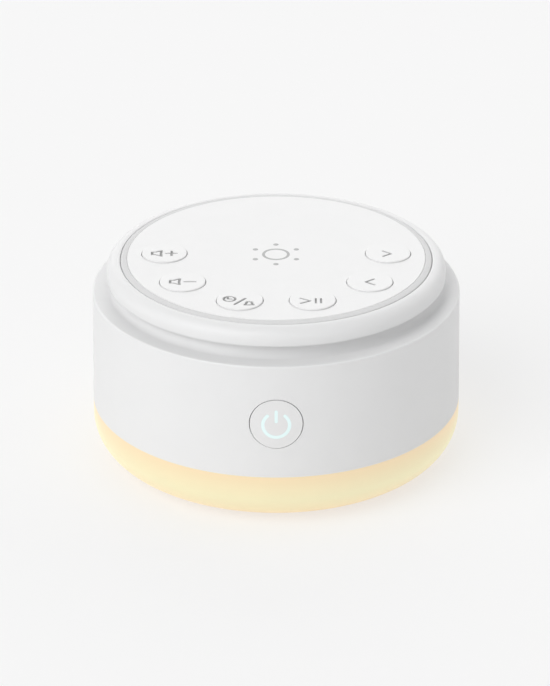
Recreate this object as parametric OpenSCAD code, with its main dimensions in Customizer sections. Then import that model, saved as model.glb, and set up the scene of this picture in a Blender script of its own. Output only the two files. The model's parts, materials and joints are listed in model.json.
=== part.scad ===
// White noise sound machine. A drafted round shell stands on a translucent glowing base. A rounded
// collar floats over the shoulder on a neck with a ring of sound ports, and frames a flat control disc
// with six sprung keys. A power button sits in the front of the wall, a charging inlet in the back.
// Millimetres, +Z up, origin on the floor under the middle, front towards -Y.

/* [Body] */
// Diameter of the shell at its shoulder
body_d = 100; // [96:0.5:108]
// Growth of the wall's radius from the shoulder down to the seam
draft = 0.6; // [0:0.1:1]
// Height of the white wall, from the seam to the shoulder
wall_h = 32; // [32:1:44]
// Thickness of the white wall
wall_t = 2.2; // [2:0.1:2.6]
// Thickness of the shoulder
shoulder_t = 2.2; // [2:0.1:2.8]
// Rounding of the shoulder's outer edge
edge_r = 0.5; // [0.2:0.1:1]

/* [Glowing base] */
// Height of the glowing base, from its flat underside to the seam
base_h = 15; // [14:0.5:18]
// Radius of the base's bottom rounding
base_round = 10.6; // [8:0.2:12]
// Thickness of the diffuser
base_t = 2.4; // [2:0.1:2.8]
// Height of the tongue that locates the diffuser in the wall
tongue_h = 1.5; // [1:0.1:2]
// Thickness of the tongue
tongue_t = 1.2; // [1:0.1:1.4]
// Width of the base's flat underside round the base plate
plate_flat = 7; // [5:0.5:8]
// Thickness of the base plate
plate_t = 2; // [1.8:0.1:2.2]
// Width of the ledge that the base plate clamps
plate_ledge = 3.2; // [2.8:0.1:3.6]

/* [Collar and sound gap] */
// Height of the open gap between the shoulder and the collar's lip
gap_h = 3.8; // [3:0.1:6]
// How far the collar's lip stands back from the shoulder's edge
collar_inset = 3.9; // [3.5:0.1:4.2]
// Height of the collar, from its lip to its crest
collar_h = 5.2; // [4.8:0.1:8]
// Radius of the collar's rounded crest
bead_r = 2.9; // [2.6:0.1:3.2]
// Rounding of the lip's lower edge
lip_r = 0.3; // [0.1:0.1:0.6]
// How far the neck stands back from the lip
neck_recess = 2.8; // [2.5:0.1:3]
// Thickness of the neck
neck_t = 1.9; // [1.6:0.1:2.2]
// Number of sound ports around the neck
port_count = 48; // [24:4:60]
// Width of one sound port
port_w = 3.4; // [2:0.1:3.6]
// Height of the ports below the lip
port_h = 1.3; // [0.8:0.1:2]
// Thickness of the ring's foot flange
ring_foot_t = 1; // [0.8:0.1:1.2]
// Width of the ring's foot flange
ring_foot_w = 2; // [1.5:0.1:2.2]

/* [Control disc] */
// How far the disc's edge lies inside the collar's lip
disc_inset = 5.6; // [5.4:0.1:5.8]
// Thickness of the control disc
disc_t = 2; // [1.8:0.1:2.4]
// Rounding of the disc's upper edge
disc_round = 0.25; // [0.1:0.05:0.5]
// Thickness of the collar's ledge under the disc
ledge_t = 1.8; // [1.4:0.1:1.8]
// Width of the collar's ledge, inwards from the disc's edge
ledge_w = 2.8; // [2.4:0.1:3]

/* [Keys] */
// Diameter of a key
key_d = 12.2; // [11:0.1:12.6]
// Distance from the disc's edge in to the circle that the keys lie on
key_inset = 10.1; // [10:0.1:10.5]
// Angle between neighbouring keys
key_pitch = 36.7; // [34:0.1:37]
// Height of a key's face above the control disc
key_proud = 0.35; // [0.2:0.05:0.8]
// Travel of a key
key_travel = 0.5; // [0.3:0.05:0.55]
// Rounding of a key's upper edge
key_round = 0.25; // [0.1:0.05:0.4]
// Width of the retaining flange around a key
flange_w = 0.8; // [0.6:0.1:0.8]
// Thickness of the retaining flange
flange_t = 1; // [0.8:0.1:1]
// Height of the stem under a key
stem_h = 0.8; // [0.7:0.1:1.2]
// Diameter of the stem under a key
stem_d = 4; // [3:0.1:5]
// Wall of the hollow key
key_wall = 1.2; // [1:0.1:1.4]
// Width of the rib that stops a key turning
key_rib_w = 1; // [0.8:0.1:1.2]

/* [Switches] */
// Side of a key switch housing
switch_w = 4.6; // [4:0.1:5]
// Height of a key switch housing
switch_h = 1.6; // [1.5:0.1:2.2]
// Height of the plunger above its housing
plunger_h = 0.6; // [0.6:0.05:1]
// Diameter of a key switch plunger
plunger_d = 2.4; // [2:0.1:2.8]
// Depth of the plunger inside its housing at rest
plunger_in = 0.5; // [0.4:0.05:0.5]

/* [Power button] */
// Diameter of the power button
power_d = 13.8; // [12:0.1:14.4]
// Height of the power button's axis above the seam
power_up = 15.6; // [14.5:0.1:17]
// Height of the power button's face above the wall
power_proud = 0.15; // [0:0.05:0.6]
// Travel of the power button
power_travel = 0.5; // [0.3:0.05:0.6]
// Wall of the power button's cap
power_wall = 1.2; // [1:0.1:1.4]
// Width of the power button's retaining flange
power_flange_w = 1; // [0.6:0.1:1.2]
// Thickness of the retaining flange
power_flange_t = 1; // [0.8:0.1:1.2]
// Diameter of the clear core's stem
lens_stem_d = 3.6; // [3:0.1:4]
// Length of the clear core's stem behind the flange
lens_stem_h = 1.3; // [1.2:0.1:1.6]
// Side of the power switch housing
power_switch_w = 6.2; // [6:0.1:7]
// Depth of the power switch housing
power_switch_h = 2.9; // [2.6:0.1:3.2]

/* [Speaker] */
// Diameter of the driver's flange
driver_d = 50; // [48:0.5:50]
// Thickness of the pressed basket
basket_t = 1; // [0.8:0.1:1.2]
// Depth of the basket, from the flange's face to the top plate
basket_h = 9; // [8.6:0.1:9]
// Diameter of the magnet
magnet_d = 30; // [28:0.5:31]
// Height of the magnet
magnet_h = 4.6; // [4:0.1:4.6]
// Thickness of the magnet's two steel plates
iron_t = 2; // [1.8:0.1:2]
// Diameter of the pole
pole_d = 13.2; // [12.8:0.1:13.2]
// Outer diameter of the voice coil
coil_d = 14.5; // [14.4:0.1:14.6]
// Thickness of the voice coil and its former
coil_t = 0.35; // [0.3:0.05:0.35]
// Width of the basket's rim outside the surround
rim_w = 1.9; // [1.7:0.1:2.6]
// Thickness of the cone
cone_t = 0.4; // [0.3:0.05:0.5]
// Height of the cone's neck above the top plate
cone_neck_h = 3; // [2.6:0.1:3.4]
// Flat width where cone and surround, and surround and basket, are glued
glue_w = 0.8; // [0.6:0.1:1]
// Width of the surround's half roll
roll_w = 2.8; // [2.4:0.1:3]
// Thickness of the surround
surround_t = 0.3; // [0.2:0.05:0.4]
// Depth of the spider's waves, each way
spider_wave = 0.3; // [0.2:0.05:0.35]
// Thickness of the spider
spider_t = 0.3; // [0.2:0.05:0.4]
// Thickness of the gasket
gasket_t = 0.8; // [0.5:0.1:1]
// Width of the screw ears on the basket
ear_d = 6.4; // [6:0.1:7]
// Diameter of the windows in the basket's cone
window_d = 4.8; // [3.5:0.1:5]
// Thickness of the baffle
baffle_t = 2; // [1.8:0.1:2.4]
// Height of the bosses on the baffle that take the driver's screws
driver_boss_h = 3; // [2.4:0.1:3.4]
// Radius of the circle of the driver's screws
driver_screw_r = 28; // [28:0.2:30]

/* [Chassis and battery] */
// Thickness of the chassis plate
chassis_t = 1.6; // [1.4:0.1:2]
// Diameter of the bosses that take the screws
boss_d = 6; // [5.6:0.1:6.4]
// Rim left between a base screw's cup and the plate's step
cup_edge = 0.8; // [0.4:0.1:1.8]
// Room between each end of the battery and the shell's bosses
cell_end = 3.2; // [2.2:0.1:6]
// Thickness of the battery
cell_t = 5; // [4:0.1:5]
// Distance from the machine's axis to the battery's rear edge
cell_back = 3.8; // [3.6:0.1:5]
// Thickness of the foam pad under the battery
pad_t = 0.3; // [0.2:0.1:0.5]

/* [Boards] */
// Thickness of every circuit board
board_t = 1.2; // [1:0.1:1.4]
// Gap between a round board's edge and the posts or bosses outside it
board_gap = 0.7; // [0.5:0.1:2]
// Diameter of the posts that carry boards and driver
post_d = 5; // [4.6:0.1:5.4]
// Room between the keys' flanges and the posts inside their circle
key_post_gap = 1.4; // [1:0.1:2.8]
// Height of the posts under the main board
post_h = 3.1; // [2.8:0.1:3.2]
// Number of night light LEDs
led_count = 12; // [8:1:18]
// Gap between the LED board and the chassis screws' heads
led_gap = 2.1; // [1:0.1:2.5]
// Width of the LED board's ring
led_board_w = 9; // [7:0.5:9.5]

/* [Charging inlet] */
// Width of the inlet's metal shell
usb_w = 8.94; // [8.9:0.01:9]
// Height of the inlet's metal shell
usb_h = 3.26; // [3.2:0.01:3.3]
// Depth of the inlet's metal shell
usb_l = 7.35; // [7:0.05:8]
// Thickness of the inlet's metal shell
usb_t = 0.3; // [0.25:0.05:0.35]
// How far the inlet's mouth lies behind the wall's face
usb_set_back = 0.8; // [0.4:0.1:1.2]

/* [Feet and screws] */
// Diameter of a foot
foot_d = 10; // [8:0.5:12]
// How far the feet stand below the base
foot_proud = 0.8; // [0.5:0.1:1.5]
// Depth of a foot's pocket
foot_pocket = 0.8; // [0.6:0.1:1]
// Rim left between a foot's pocket and the plate's step
foot_edge = 0.8; // [0.6:0.1:3]
// Core diameter of every screw
screw_d = 2; // [1.8:0.1:2]
// Diameter of a screw's head
head_d = 4.2; // [3.8:0.1:4.4]
// Height of a screw's head
head_h = 1.6; // [1.4:0.1:1.6]
// Grip of a screw in a case boss
grip = 6; // [5:0.2:6.4]
// Grip of a screw in a board post
post_grip = 2.4; // [2:0.1:2.6]
// Depth left beyond the tip of a screw
tip_gap = 0.6; // [0.4:0.1:0.8]
// Thickness of the web that a base screw clamps
cup_web = 1.6; // [1.4:0.1:1.8]
// Height of the base screws' cups
cup_h = 4.2; // [4:0.1:5]

/* [Fits] */
// Gap around a disc, plate or ring that drops into its seat
seat_gap = 0.2; // [0.1:0.05:0.3]
// Gap around a key or button in its hole
key_gap = 0.2; // [0.15:0.05:0.3]
// Radial gap between a screw's core and its pilot hole
pilot_gap = 0.05; // [0.02:0.01:0.1]
// Radial gap between a screw and a hole that it passes through
pass_gap = 0.4; // [0.3:0.05:0.5]
// Radial gap between a plunger and its well
plunger_gap = 0.1; // [0.05:0.05:0.15]
// Least gap between pieces that must never touch
free_gap = 0.3; // [0.2:0.1:0.4]

/* [Hidden] */
$fn = 96;
eps = 0.01;
past = 1;                           // how far a cutter runs past the face it cuts

// Heights, from the floor up
z_base = foot_proud;
z_cup = z_base + cup_h;             // top of the base screws' cups, underside of the chassis bosses
z_seam = z_base + base_h;
z_chassis = z_seam + tongue_h;
z_deck = z_chassis + chassis_t;
z_main_board = z_deck + post_h;
z_parts = z_main_board + board_t;   // top of the main board
z_usb = z_parts + usb_h / 2;
z_power = z_seam + power_up;
z_shoulder = z_seam + wall_h;
z_ceiling = z_shoulder - shoulder_t;
z_baffle = z_ceiling - baffle_t;
z_driver = z_baffle - gasket_t;     // top of the basket's flange
z_basket = z_driver - basket_h;     // underside of the basket's floor, top of the top plate
z_magnet = z_basket - iron_t;
z_yoke = z_magnet - magnet_h;
z_spider = z_basket + 1.8 * basket_t;
z_neck = z_basket + cone_neck_h;    // underside of the cone at the coil
z_lip = z_shoulder + gap_h;
z_sill = z_lip - port_h;            // bottom of the sound ports
z_top = z_lip + collar_h;
z_disc = z_top - disc_t;
z_ledge = z_disc - ledge_t;
z_flange = z_disc - flange_t;
z_key_stop = z_flange - key_travel - free_gap / 3;
z_plunger = z_flange - stem_h;
z_switch = z_plunger - plunger_h;
z_key_board = z_switch - switch_h;

// Radii
top_r = body_d / 2;
seam_r = top_r + draft;
lip_out = top_r - collar_inset;
crest_r = lip_out - bead_r;
neck_out = lip_out - neck_recess;
neck_in = neck_out - neck_t;
neck_hole = neck_out + seat_gap / 2;
ring_foot_r = neck_out + ring_foot_w;
disc_r = lip_out - disc_inset;
ledge_r = disc_r - ledge_w;
boss_r = boss_d / 2;
post_r = post_d / 2;
cup_wall = 1;                       // how much wider a cup is than the boss above it
cup_r = boss_r + cup_wall;
diffuser_in = seam_r - base_t;
tongue_r = diffuser_in + tongue_t;
plate_r = seam_r - base_round - plate_flat;
plug_r = plate_r - plate_ledge;
foot_ring_r = plug_r - foot_edge - foot_d / 2;
base_screw_r = plug_r - cup_edge - cup_r;
boss_ring_r = top_r - wall_t - boss_r - 2 * free_gap;
led_board_r = boss_ring_r - head_d / 2 - led_gap;
led_mid = led_board_r - led_board_w / 2;
main_board_r = boss_ring_r - boss_r - board_gap;
collar_screw_r = neck_in - post_r - 2 * free_gap - seat_gap / 2;
key_board_r = collar_screw_r - post_r - board_gap;
key_ring_r = disc_r - key_inset;
key_post_r = key_ring_r - key_d / 2 - flange_w - key_post_gap - post_r;
baffle_r = wall_in(z_ceiling) - 2 * free_gap;
pilot_r = screw_d / 2 + pilot_gap;
pass_r = screw_d / 2 + pass_gap;

// Outer and inner radius of the drafted wall at a height
function wall_out(z) = top_r + draft * (z_shoulder - z) / wall_h;
function wall_in(z) = wall_out(z) - wall_t;

// Along y: the power button's train from the wall inwards, the battery behind it, the main board last
power_r = power_d / 2;
power_flange_r = power_r + power_flange_w;
// The flat flange stops against the curved wall where its rim meets it
power_front = free_gap / 2 - sqrt(pow(wall_in(z_power + power_flange_r), 2) - pow(power_flange_r, 2));
power_back = power_front + power_flange_t;
power_stem_end = power_back + lens_stem_h;
power_switch_y = power_stem_end + power_travel + 2 * free_gap;
power_board_y = power_switch_y + power_switch_h + board_t / 2;
rail_d = 4;                         // depth of the rails that hold the power board
cell_front = power_board_y + rail_d / 2 + 2 * free_gap;
cell_w = -cell_back - cell_front;
cell_l = 2 * (boss_ring_r * cos(45) - boss_r - cell_end);
rib_t = 1.2;                        // thickness of the chassis ribs
board_front = free_gap - cell_back + rib_t + 2 * free_gap;

// ---- shared forms ----

// The four places on a circle that bosses, screws and feet share
module four(r, first = 45) {
    for (i = [0:3]) rotate([0, 0, first + 90 * i]) translate([r, 0, 0]) children();
}

// A flat ring standing on z = 0
module ring(r_out, r_in, h) {
    difference() {
        cylinder(r = r_out, h = h);
        translate([0, 0, -past]) cylinder(r = r_in, h = h + 2 * past);
    }
}

// Section cutters that leave a corner rounded at [x, z]: an upper one and a lower one
module round_top(x, z, r) {
    translate([x - r, z - r]) difference() {
        square(r + past);
        circle(r);
    }
}
module round_bottom(x, z, r) {
    translate([x - r, z + r]) mirror([0, 1]) difference() {
        square(r + past);
        circle(r);
    }
}

// A pan-head screw that points up, with its head standing on z = 0 and a cross recess in it
module screw(length) {
    recess_l = 0.64 * head_d;
    recess_w = 0.5;
    difference() {
        union() {
            cylinder(d = head_d, h = head_h);
            cylinder(d = screw_d, h = head_h + length);
        }
        for (turn = [0, 90])
            rotate([0, 0, turn]) translate([-recess_l / 2, -recess_w / 2, -past])
                cube([recess_l, recess_w, past + head_h / 2]);
    }
}

// A blind pilot hole that opens downwards at z = 0
module pilot(screw_grip) {
    translate([0, 0, -past]) cylinder(r = pilot_r, h = past + screw_grip + tip_gap);
}

// A clear hole through a plate that stands on z = 0
module clear_hole(plate, r = pass_r) {
    translate([0, 0, -past]) cylinder(r = r, h = plate + 2 * past);
}

// A slot section with round ends, wide along x
module slot_section(w, h) {
    square([w - h, h], center = true);
    for (side = [-1, 1]) translate([side * (w - h) / 2, 0]) circle(d = h);
}

// ---- shell, neck, collar and disc ----

module outer_shell() {
    rebate = tongue_r + seat_gap;
    color("whitesmoke") difference() {
        union() {
            rotate_extrude() difference() {
                polygon([[wall_out(z_seam), z_seam], [wall_out(z_shoulder), z_shoulder],
                    [neck_hole, z_shoulder], [neck_hole, z_ceiling + ring_foot_t],
                    [ring_foot_r + seat_gap, z_ceiling + ring_foot_t],
                    [ring_foot_r + seat_gap, z_ceiling], [wall_in(z_ceiling), z_ceiling],
                    [wall_in(z_chassis), z_chassis + seat_gap], [rebate, z_chassis + seat_gap],
                    [rebate, z_seam]]);
                round_top(wall_out(z_shoulder - edge_r), z_shoulder, edge_r);
            }
            shell_bosses();
        }
        four(boss_ring_r) translate([0, 0, z_deck]) pilot(grip);
        translate([0, -top_r, z_power]) rotate([90, 0, 0])
            cylinder(d = power_d + 2 * key_gap, h = 4 * wall_t, center = true);
        translate([0, top_r, z_usb]) rotate([90, 0, 0]) linear_extrude(4 * wall_t, center = true)
            slot_section(usb_w + 2 * free_gap, usb_h + 2 * free_gap);
    }
}

// Screw bosses from the chassis to the shoulder, each tied to the wall by a rib
module shell_bosses() {
    tall = z_ceiling - z_deck;
    rib_w = 2 * boss_r / 3;
    intersection() {
        four(boss_ring_r) {
            translate([0, 0, z_deck]) cylinder(r = boss_r, h = tall);
            translate([0, -rib_w / 2, z_deck]) cube([boss_r + wall_t, rib_w, tall]);
        }
        cylinder(r = wall_in(z_ceiling) + wall_t / 2, h = z_ceiling);
    }
}

// Neck between shoulder and collar: a ring with a foot flange and a crown of open sound ports
module sound_ring() {
    color("whitesmoke") difference() {
        rotate_extrude() {
            translate([neck_in, z_ceiling]) square([neck_t, z_ledge - z_ceiling]);
            translate([neck_in, z_ceiling]) square([ring_foot_r - neck_in, ring_foot_t]);
        }
        for (i = [0:port_count - 1]) rotate([0, 0, 360 * (i + 0.5) / port_count])
            translate([neck_in - past, -port_w / 2, z_sill])
                cube([neck_t + 2 * past, port_w, z_ledge - z_sill + past]);
    }
}

// Rounded collar with the seat of the disc inside, a drop lip outside and four screw posts
module top_collar() {
    color("white") difference() {
        union() {
            rotate_extrude() difference() {
                union() {
                    translate([crest_r, z_top - bead_r]) circle(bead_r);
                    translate([neck_hole, z_lip]) square([lip_out - neck_hole, collar_h - bead_r]);
                    translate([ledge_r, z_ledge]) square([crest_r - ledge_r, ledge_t]);
                }
                translate([0, z_disc]) square([disc_r + seat_gap, disc_t + past]);
                translate([0, z_lip - collar_h]) square([neck_hole, z_ledge - z_lip + collar_h]);
                translate([0, z_lip - collar_h]) square([lip_out, collar_h]);
                round_bottom(lip_out, z_lip, lip_r);
            }
            four(collar_screw_r) translate([0, 0, z_ceiling])
                cylinder(r = post_r, h = z_ledge + ledge_t / 2 - z_ceiling);
        }
        four(collar_screw_r) translate([0, 0, z_ceiling]) pilot(grip);
    }
}

module control_disc() {
    rib_x = key_d / 2 + seat_gap;
    rib_l = flange_w + free_gap;
    color("white") difference() {
        union() {
            rotate_extrude() difference() {
                translate([0, z_disc]) square([disc_r, disc_t]);
                round_top(disc_r, z_top, disc_round);
            }
            four(key_post_r) translate([0, 0, z_key_board])
                cylinder(r = post_r, h = z_disc - z_key_board + eps);
            for (i = [0:5]) at_key(i) translate([-rib_x - rib_l, -key_rib_w / 2, z_key_stop])
                cube([rib_l, key_rib_w, z_disc - z_key_stop + eps]);
        }
        for (i = [0:5]) at_key(i) translate([0, 0, z_disc]) clear_hole(disc_t, key_d / 2 + key_gap);
        four(key_post_r) translate([0, 0, z_key_board]) pilot(post_grip);
    }
}

// ---- keys ----

// Place of key i on the arc round the front of the disc, counted from its left end
module at_key(i) {
    rotate([0, 0, 270 + (i - 2.5) * key_pitch]) translate([key_ring_r, 0, 0]) children();
}

// Hollow cap with a retaining flange, a centre stem and a notch that rides on the disc's rib
module key_cap(i) {
    cap_r = key_d / 2;
    stem_r = stem_d / 2;
    face = z_top + key_proud;
    hollow_in = stem_r + key_wall / 2;
    color("white") at_key(i) difference() {
        rotate_extrude() difference() {
            union() {
                translate([0, z_flange]) square([cap_r, face - z_flange]);
                translate([0, z_flange]) square([cap_r + flange_w, flange_t]);
                translate([0, z_plunger]) square([stem_r, stem_h + eps]);
            }
            translate([hollow_in, z_flange - past])
                square([cap_r - key_wall - hollow_in, face - z_flange - key_wall + past]);
            round_top(cap_r, face, key_round);
        }
        translate([-cap_r - flange_w - past, -key_rib_w / 2 - seat_gap, z_flange - past])
            cube([flange_w + past, key_rib_w + 2 * seat_gap, flange_t + past]);
    }
}
module volume_up_key() key_cap(0);
module volume_down_key() key_cap(1);
module timer_key() key_cap(2);
module play_pause_key() key_cap(3);
module previous_key() key_cap(4);
module next_key() key_cap(5);

module key_plunger(i) {
    color("dimgray") at_key(i) translate([0, 0, z_switch - plunger_in])
        cylinder(d = plunger_d, h = plunger_in + plunger_h);
}
module volume_up_plunger() key_plunger(0);
module volume_down_plunger() key_plunger(1);
module timer_plunger() key_plunger(2);
module play_pause_plunger() key_plunger(3);
module previous_plunger() key_plunger(4);
module next_plunger() key_plunger(5);

module key_switches() {
    well = plunger_in + key_travel + plunger_gap;
    color("darkgray") for (i = [0:5]) at_key(i) difference() {
        translate([-switch_w / 2, -switch_w / 2, z_key_board]) cube([switch_w, switch_w, switch_h]);
        translate([0, 0, z_switch - well]) cylinder(r = plunger_d / 2 + plunger_gap, h = well + past);
    }
}

module key_board() {
    color("seagreen") translate([0, 0, z_key_board - board_t]) difference() {
        cylinder(r = key_board_r, h = board_t);
        four(key_post_r) clear_hole(board_t);
    }
}

module key_board_screws() {
    color("silver") four(key_post_r) translate([0, 0, z_key_board - board_t - head_h])
        screw(board_t + post_grip);
}

// Touch spring: a wire that climbs in a coil from the key board to the disc's underside
touch_wire = 0.5;
touch_coil_r = 4.5;
touch_turns = 3;
touch_steps = 20;
touch_sides = 8;

// Centre of the wire at turn t, a wire radius inside its seats at both ends
function coil_point(t) = [touch_coil_r * cos(360 * t), touch_coil_r * sin(360 * t),
    z_key_board + touch_wire / 2 + (z_disc - z_key_board - touch_wire) * t / touch_turns];

// Ring of points round the wire at turn t
function wire_ring(t) = [for (k = [0:touch_sides - 1])
    let (c = coil_point(t), a = 360 * k / touch_sides, out = touch_wire / 2 * cos(a))
    [c[0] + out * cos(360 * t), c[1] + out * sin(360 * t), c[2] + touch_wire / 2 * sin(a)]];

// A closed tube over rings of equal point counts
module tube(rings) {
    n = len(rings);
    m = len(rings[0]);
    polyhedron(
        points = [for (r = rings) each r],
        faces = concat(
            [[for (k = [0:m - 1]) k]],
            [for (i = [0:n - 2], k = [0:m - 1])
                [i * m + k, (i + 1) * m + k, (i + 1) * m + (k + 1) % m, i * m + (k + 1) % m]],
            [[for (k = [m - 1:-1:0]) (n - 1) * m + k]]),
        convexity = 10);
}

module touch_spring() {
    color("goldenrod") tube([for (s = [0:touch_turns * touch_steps]) wire_ring(s / touch_steps)]);
}

module collar_screws() {
    color("silver") four(collar_screw_r) translate([0, 0, z_baffle - head_h]) screw(baffle_t + grip);
}

// ---- speaker ----

driver_r = driver_d / 2;
rim_out = driver_r - rim_w;                 // outer edge of the surround
roll_out = rim_out - seat_gap - glue_w;
cone_r = roll_out - roll_w;
coil_r = coil_d / 2;
floor_r = magnet_d / 2;
iron_in = 1;                                // how far the steel plates stand back from the magnet's rim
flange_in = roll_out + seat_gap;            // inner edge of the basket's flange

module speaker_baffle() {
    color("gainsboro") translate([0, 0, z_baffle]) difference() {
        union() {
            cylinder(r = baffle_r, h = baffle_t);
            four(driver_screw_r, 0) cylinder(r = post_r, h = baffle_t + driver_boss_h);
        }
        clear_hole(baffle_t, roll_out + 2 * free_gap);
        four(boss_ring_r) clear_hole(baffle_t, boss_r + 2 * free_gap);
        four(collar_screw_r) clear_hole(baffle_t);
        four(driver_screw_r, 0) pilot(post_grip);
    }
}

module speaker_gasket() {
    color("dimgray") translate([0, 0, z_driver]) difference() {
        ring(driver_r, rim_out + seat_gap / 2, gasket_t);
        four(driver_screw_r, 0) clear_hole(gasket_t);
    }
}

// Pressed basket: a flange with four ears, a cone with six windows and a floor with the spider's step
module speaker_basket() {
    z_rim = z_driver - basket_t;
    step_w = 1.4;
    windows = 6;
    window_z = (z_rim + z_spider) / 2;
    ear_l = driver_screw_r - flange_in - basket_t;
    color("slategray") difference() {
        union() {
            rotate_extrude() {
                translate([flange_in, z_rim]) square([driver_r - flange_in, basket_t]);
                translate([coil_r + basket_t, z_basket]) square([floor_r - coil_r - basket_t, basket_t]);
                translate([spider_r - step_w, z_basket]) square([step_w, z_spider - z_basket]);
                polygon([[floor_r - basket_t, z_basket], [floor_r, z_basket],
                    [flange_in + basket_t, z_rim], [flange_in + basket_t, z_rim + eps],
                    [flange_in, z_rim + eps], [floor_r - basket_t, z_basket + basket_t]]);
            }
            four(driver_screw_r, 0) translate([0, 0, z_rim]) {
                cylinder(d = ear_d, h = basket_t);
                translate([-ear_l, -ear_d / 2, 0]) cube([ear_l, ear_d, basket_t]);
            }
        }
        for (i = [0:windows - 1]) rotate([0, 90, 360 * i / windows])
            translate([-window_z, 0, floor_r - basket_t]) cylinder(d = window_d, h = driver_r);
        four(driver_screw_r, 0) translate([0, 0, z_rim]) clear_hole(basket_t);
    }
}

// Half roll between two flat glue rims
module speaker_surround() {
    color("dimgray") translate([0, 0, z_driver]) rotate_extrude() {
        difference() {
            translate([cone_r + roll_w / 2, 0]) circle((roll_w + surround_t) / 2);
            translate([cone_r + roll_w / 2, 0]) circle((roll_w - surround_t) / 2);
            translate([0, -roll_w]) square([driver_r, roll_w]);
        }
        translate([cone_r - glue_w, 0]) square([glue_w, surround_t]);
        translate([roll_out, 0]) square([rim_out - roll_out, surround_t]);
    }
}

// Height of the cone's upper face at radius r
cone_rise = cone_neck_h + cone_t;
function cone_top(r) = z_basket + cone_rise
    + (r - coil_r) * (basket_h - cone_rise) / (cone_r - glue_w - coil_r);

module speaker_cone() {
    color("darkslategray") rotate_extrude() polygon([
        [coil_r, z_neck], [cone_r - glue_w, z_driver - cone_t], [cone_r, z_driver - cone_t],
        [cone_r, z_driver], [cone_r - glue_w, z_driver], [coil_r, cone_top(coil_r)]]);
}

module speaker_dust_cap() {
    cap_over = 1;
    cap_r = coil_r + cap_over;
    dome_r = 14;
    dome_t = 0.3;
    drop = sqrt(dome_r * dome_r - cap_r * cap_r);
    color("darkslategray") translate([0, 0, cone_top(cap_r)]) rotate_extrude() difference() {
        translate([0, -drop]) circle(dome_r);
        translate([0, -drop]) circle(dome_r - dome_t);
        translate([-dome_r, -2 * dome_r]) square(2 * dome_r);
        translate([-dome_r, -past]) square([dome_r, dome_r]);
    }
}

module voice_coil() {
    dip = 1.2;
    color("sienna") translate([0, 0, z_magnet - dip])
        ring(coil_r, coil_r - coil_t, z_neck + cone_t - z_magnet + dip);
}

// Corrugated disc that centres the coil, glued to the step in the basket
spider_r = floor_r - 0.6;
module speaker_spider() {
    waves = 5;
    steps = 8 * waves;
    inner = coil_r + seat_gap / 2;
    outer = spider_r - seat_gap;
    span = outer - glue_w - inner;
    function rise(s) = spider_wave * (1 + sin(360 * s * waves / steps));
    function wave(s) = [inner + span * s / steps, z_spider + rise(s)];
    color("peru") rotate_extrude() polygon(concat(
        [for (s = [0:steps]) wave(s) + [0, spider_t]],
        [[outer, z_spider + spider_wave + spider_t], [outer, z_spider], [outer - glue_w, z_spider]],
        [for (s = [steps:-1:0]) wave(s)]));
}

module speaker_top_plate() {
    color("silver") translate([0, 0, z_magnet]) ring(floor_r - iron_in, coil_r + free_gap, iron_t);
}

module speaker_magnet() {
    color("dimgray") translate([0, 0, z_yoke]) ring(floor_r, coil_r + 4 * free_gap, magnet_h);
}

// Back plate with the vented pole
module speaker_yoke() {
    vent_d = 3;
    tall = z_basket - z_yoke + iron_t;
    color("silver") translate([0, 0, z_yoke - iron_t]) difference() {
        union() {
            cylinder(r = floor_r - iron_in, h = iron_t);
            cylinder(d = pole_d, h = tall);
        }
        clear_hole(tall, vent_d / 2);
    }
}

module speaker_screws() {
    color("silver") four(driver_screw_r, 0) translate([0, 0, z_driver - basket_t - head_h])
        screw(basket_t + gasket_t + post_grip);
}

// ---- chassis, battery and boards ----

rail_x = 7.6;                       // inner face of the power board's rails
rail_w = 2.4;
rail_over = 5;                      // how far the rails reach above the power button's axis
rail_h = power_up + rail_over;
rail_grip = 0.7;                    // how far the board stands in each rail's groove
lead_hole_d = 6;

// Places on the main board as [angle from +X, distance in from the round edge]
front_post_in = 16.2;
rear_post_in = 5.2;
posts = [[9.5, front_post_in], [61.3, rear_post_in], [118.7, rear_post_in], [170.5, front_post_in]];

module at_board(p) {
    rotate([0, 0, p[0]]) translate([main_board_r - p[1], 0, 0]) rotate([0, 0, -p[0]]) children();
}

module chassis() {
    groove = rail_grip + seat_gap;
    color("gainsboro") difference() {
        union() {
            translate([0, 0, z_chassis]) cylinder(r = wall_in(z_deck) - free_gap, h = chassis_t);
            four(base_screw_r, 0) translate([0, 0, z_cup]) cylinder(r = boss_r, h = z_deck - z_cup);
            for (p = posts) at_board(p) translate([0, 0, z_chassis])
                cylinder(r = post_r, h = chassis_t + post_h);
            for (side = [-1, 1]) {
                translate([side * (cell_l / 2 + free_gap + rib_t / 2), -cell_back - cell_w / 2, z_chassis])
                    translate([-rib_t / 2, -cell_w / 3, 0])
                        cube([rib_t, cell_w * 2 / 3, chassis_t + cell_t / 2]);
                translate([side * (rail_x + rail_w / 2), power_board_y, z_chassis])
                    translate([-rail_w / 2, -rail_d / 2, 0]) cube([rail_w, rail_d, chassis_t + rail_h]);
            }
            translate([-cell_l / 3, free_gap - cell_back, z_chassis])
                cube([cell_l * 2 / 3, rib_t, chassis_t + cell_t / 2]);
        }
        four(boss_ring_r) translate([0, 0, z_chassis]) clear_hole(chassis_t);
        four(base_screw_r, 0) translate([0, 0, z_cup]) pilot(grip);
        for (p = posts) at_board(p) translate([0, 0, z_main_board]) mirror([0, 0, 1]) pilot(post_grip);
        translate([-rail_x - groove, power_board_y - board_t / 2 - seat_gap / 2, z_deck])
            cube([2 * (rail_x + groove), board_t + seat_gap, rail_h + past]);
        for (side = [-1, 1]) translate([side * led_mid, 0, z_chassis])
            clear_hole(chassis_t, lead_hole_d / 2);
    }
}

module chassis_screws() {
    color("silver") four(boss_ring_r) translate([0, 0, z_chassis - head_h]) screw(chassis_t + grip);
}

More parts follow.
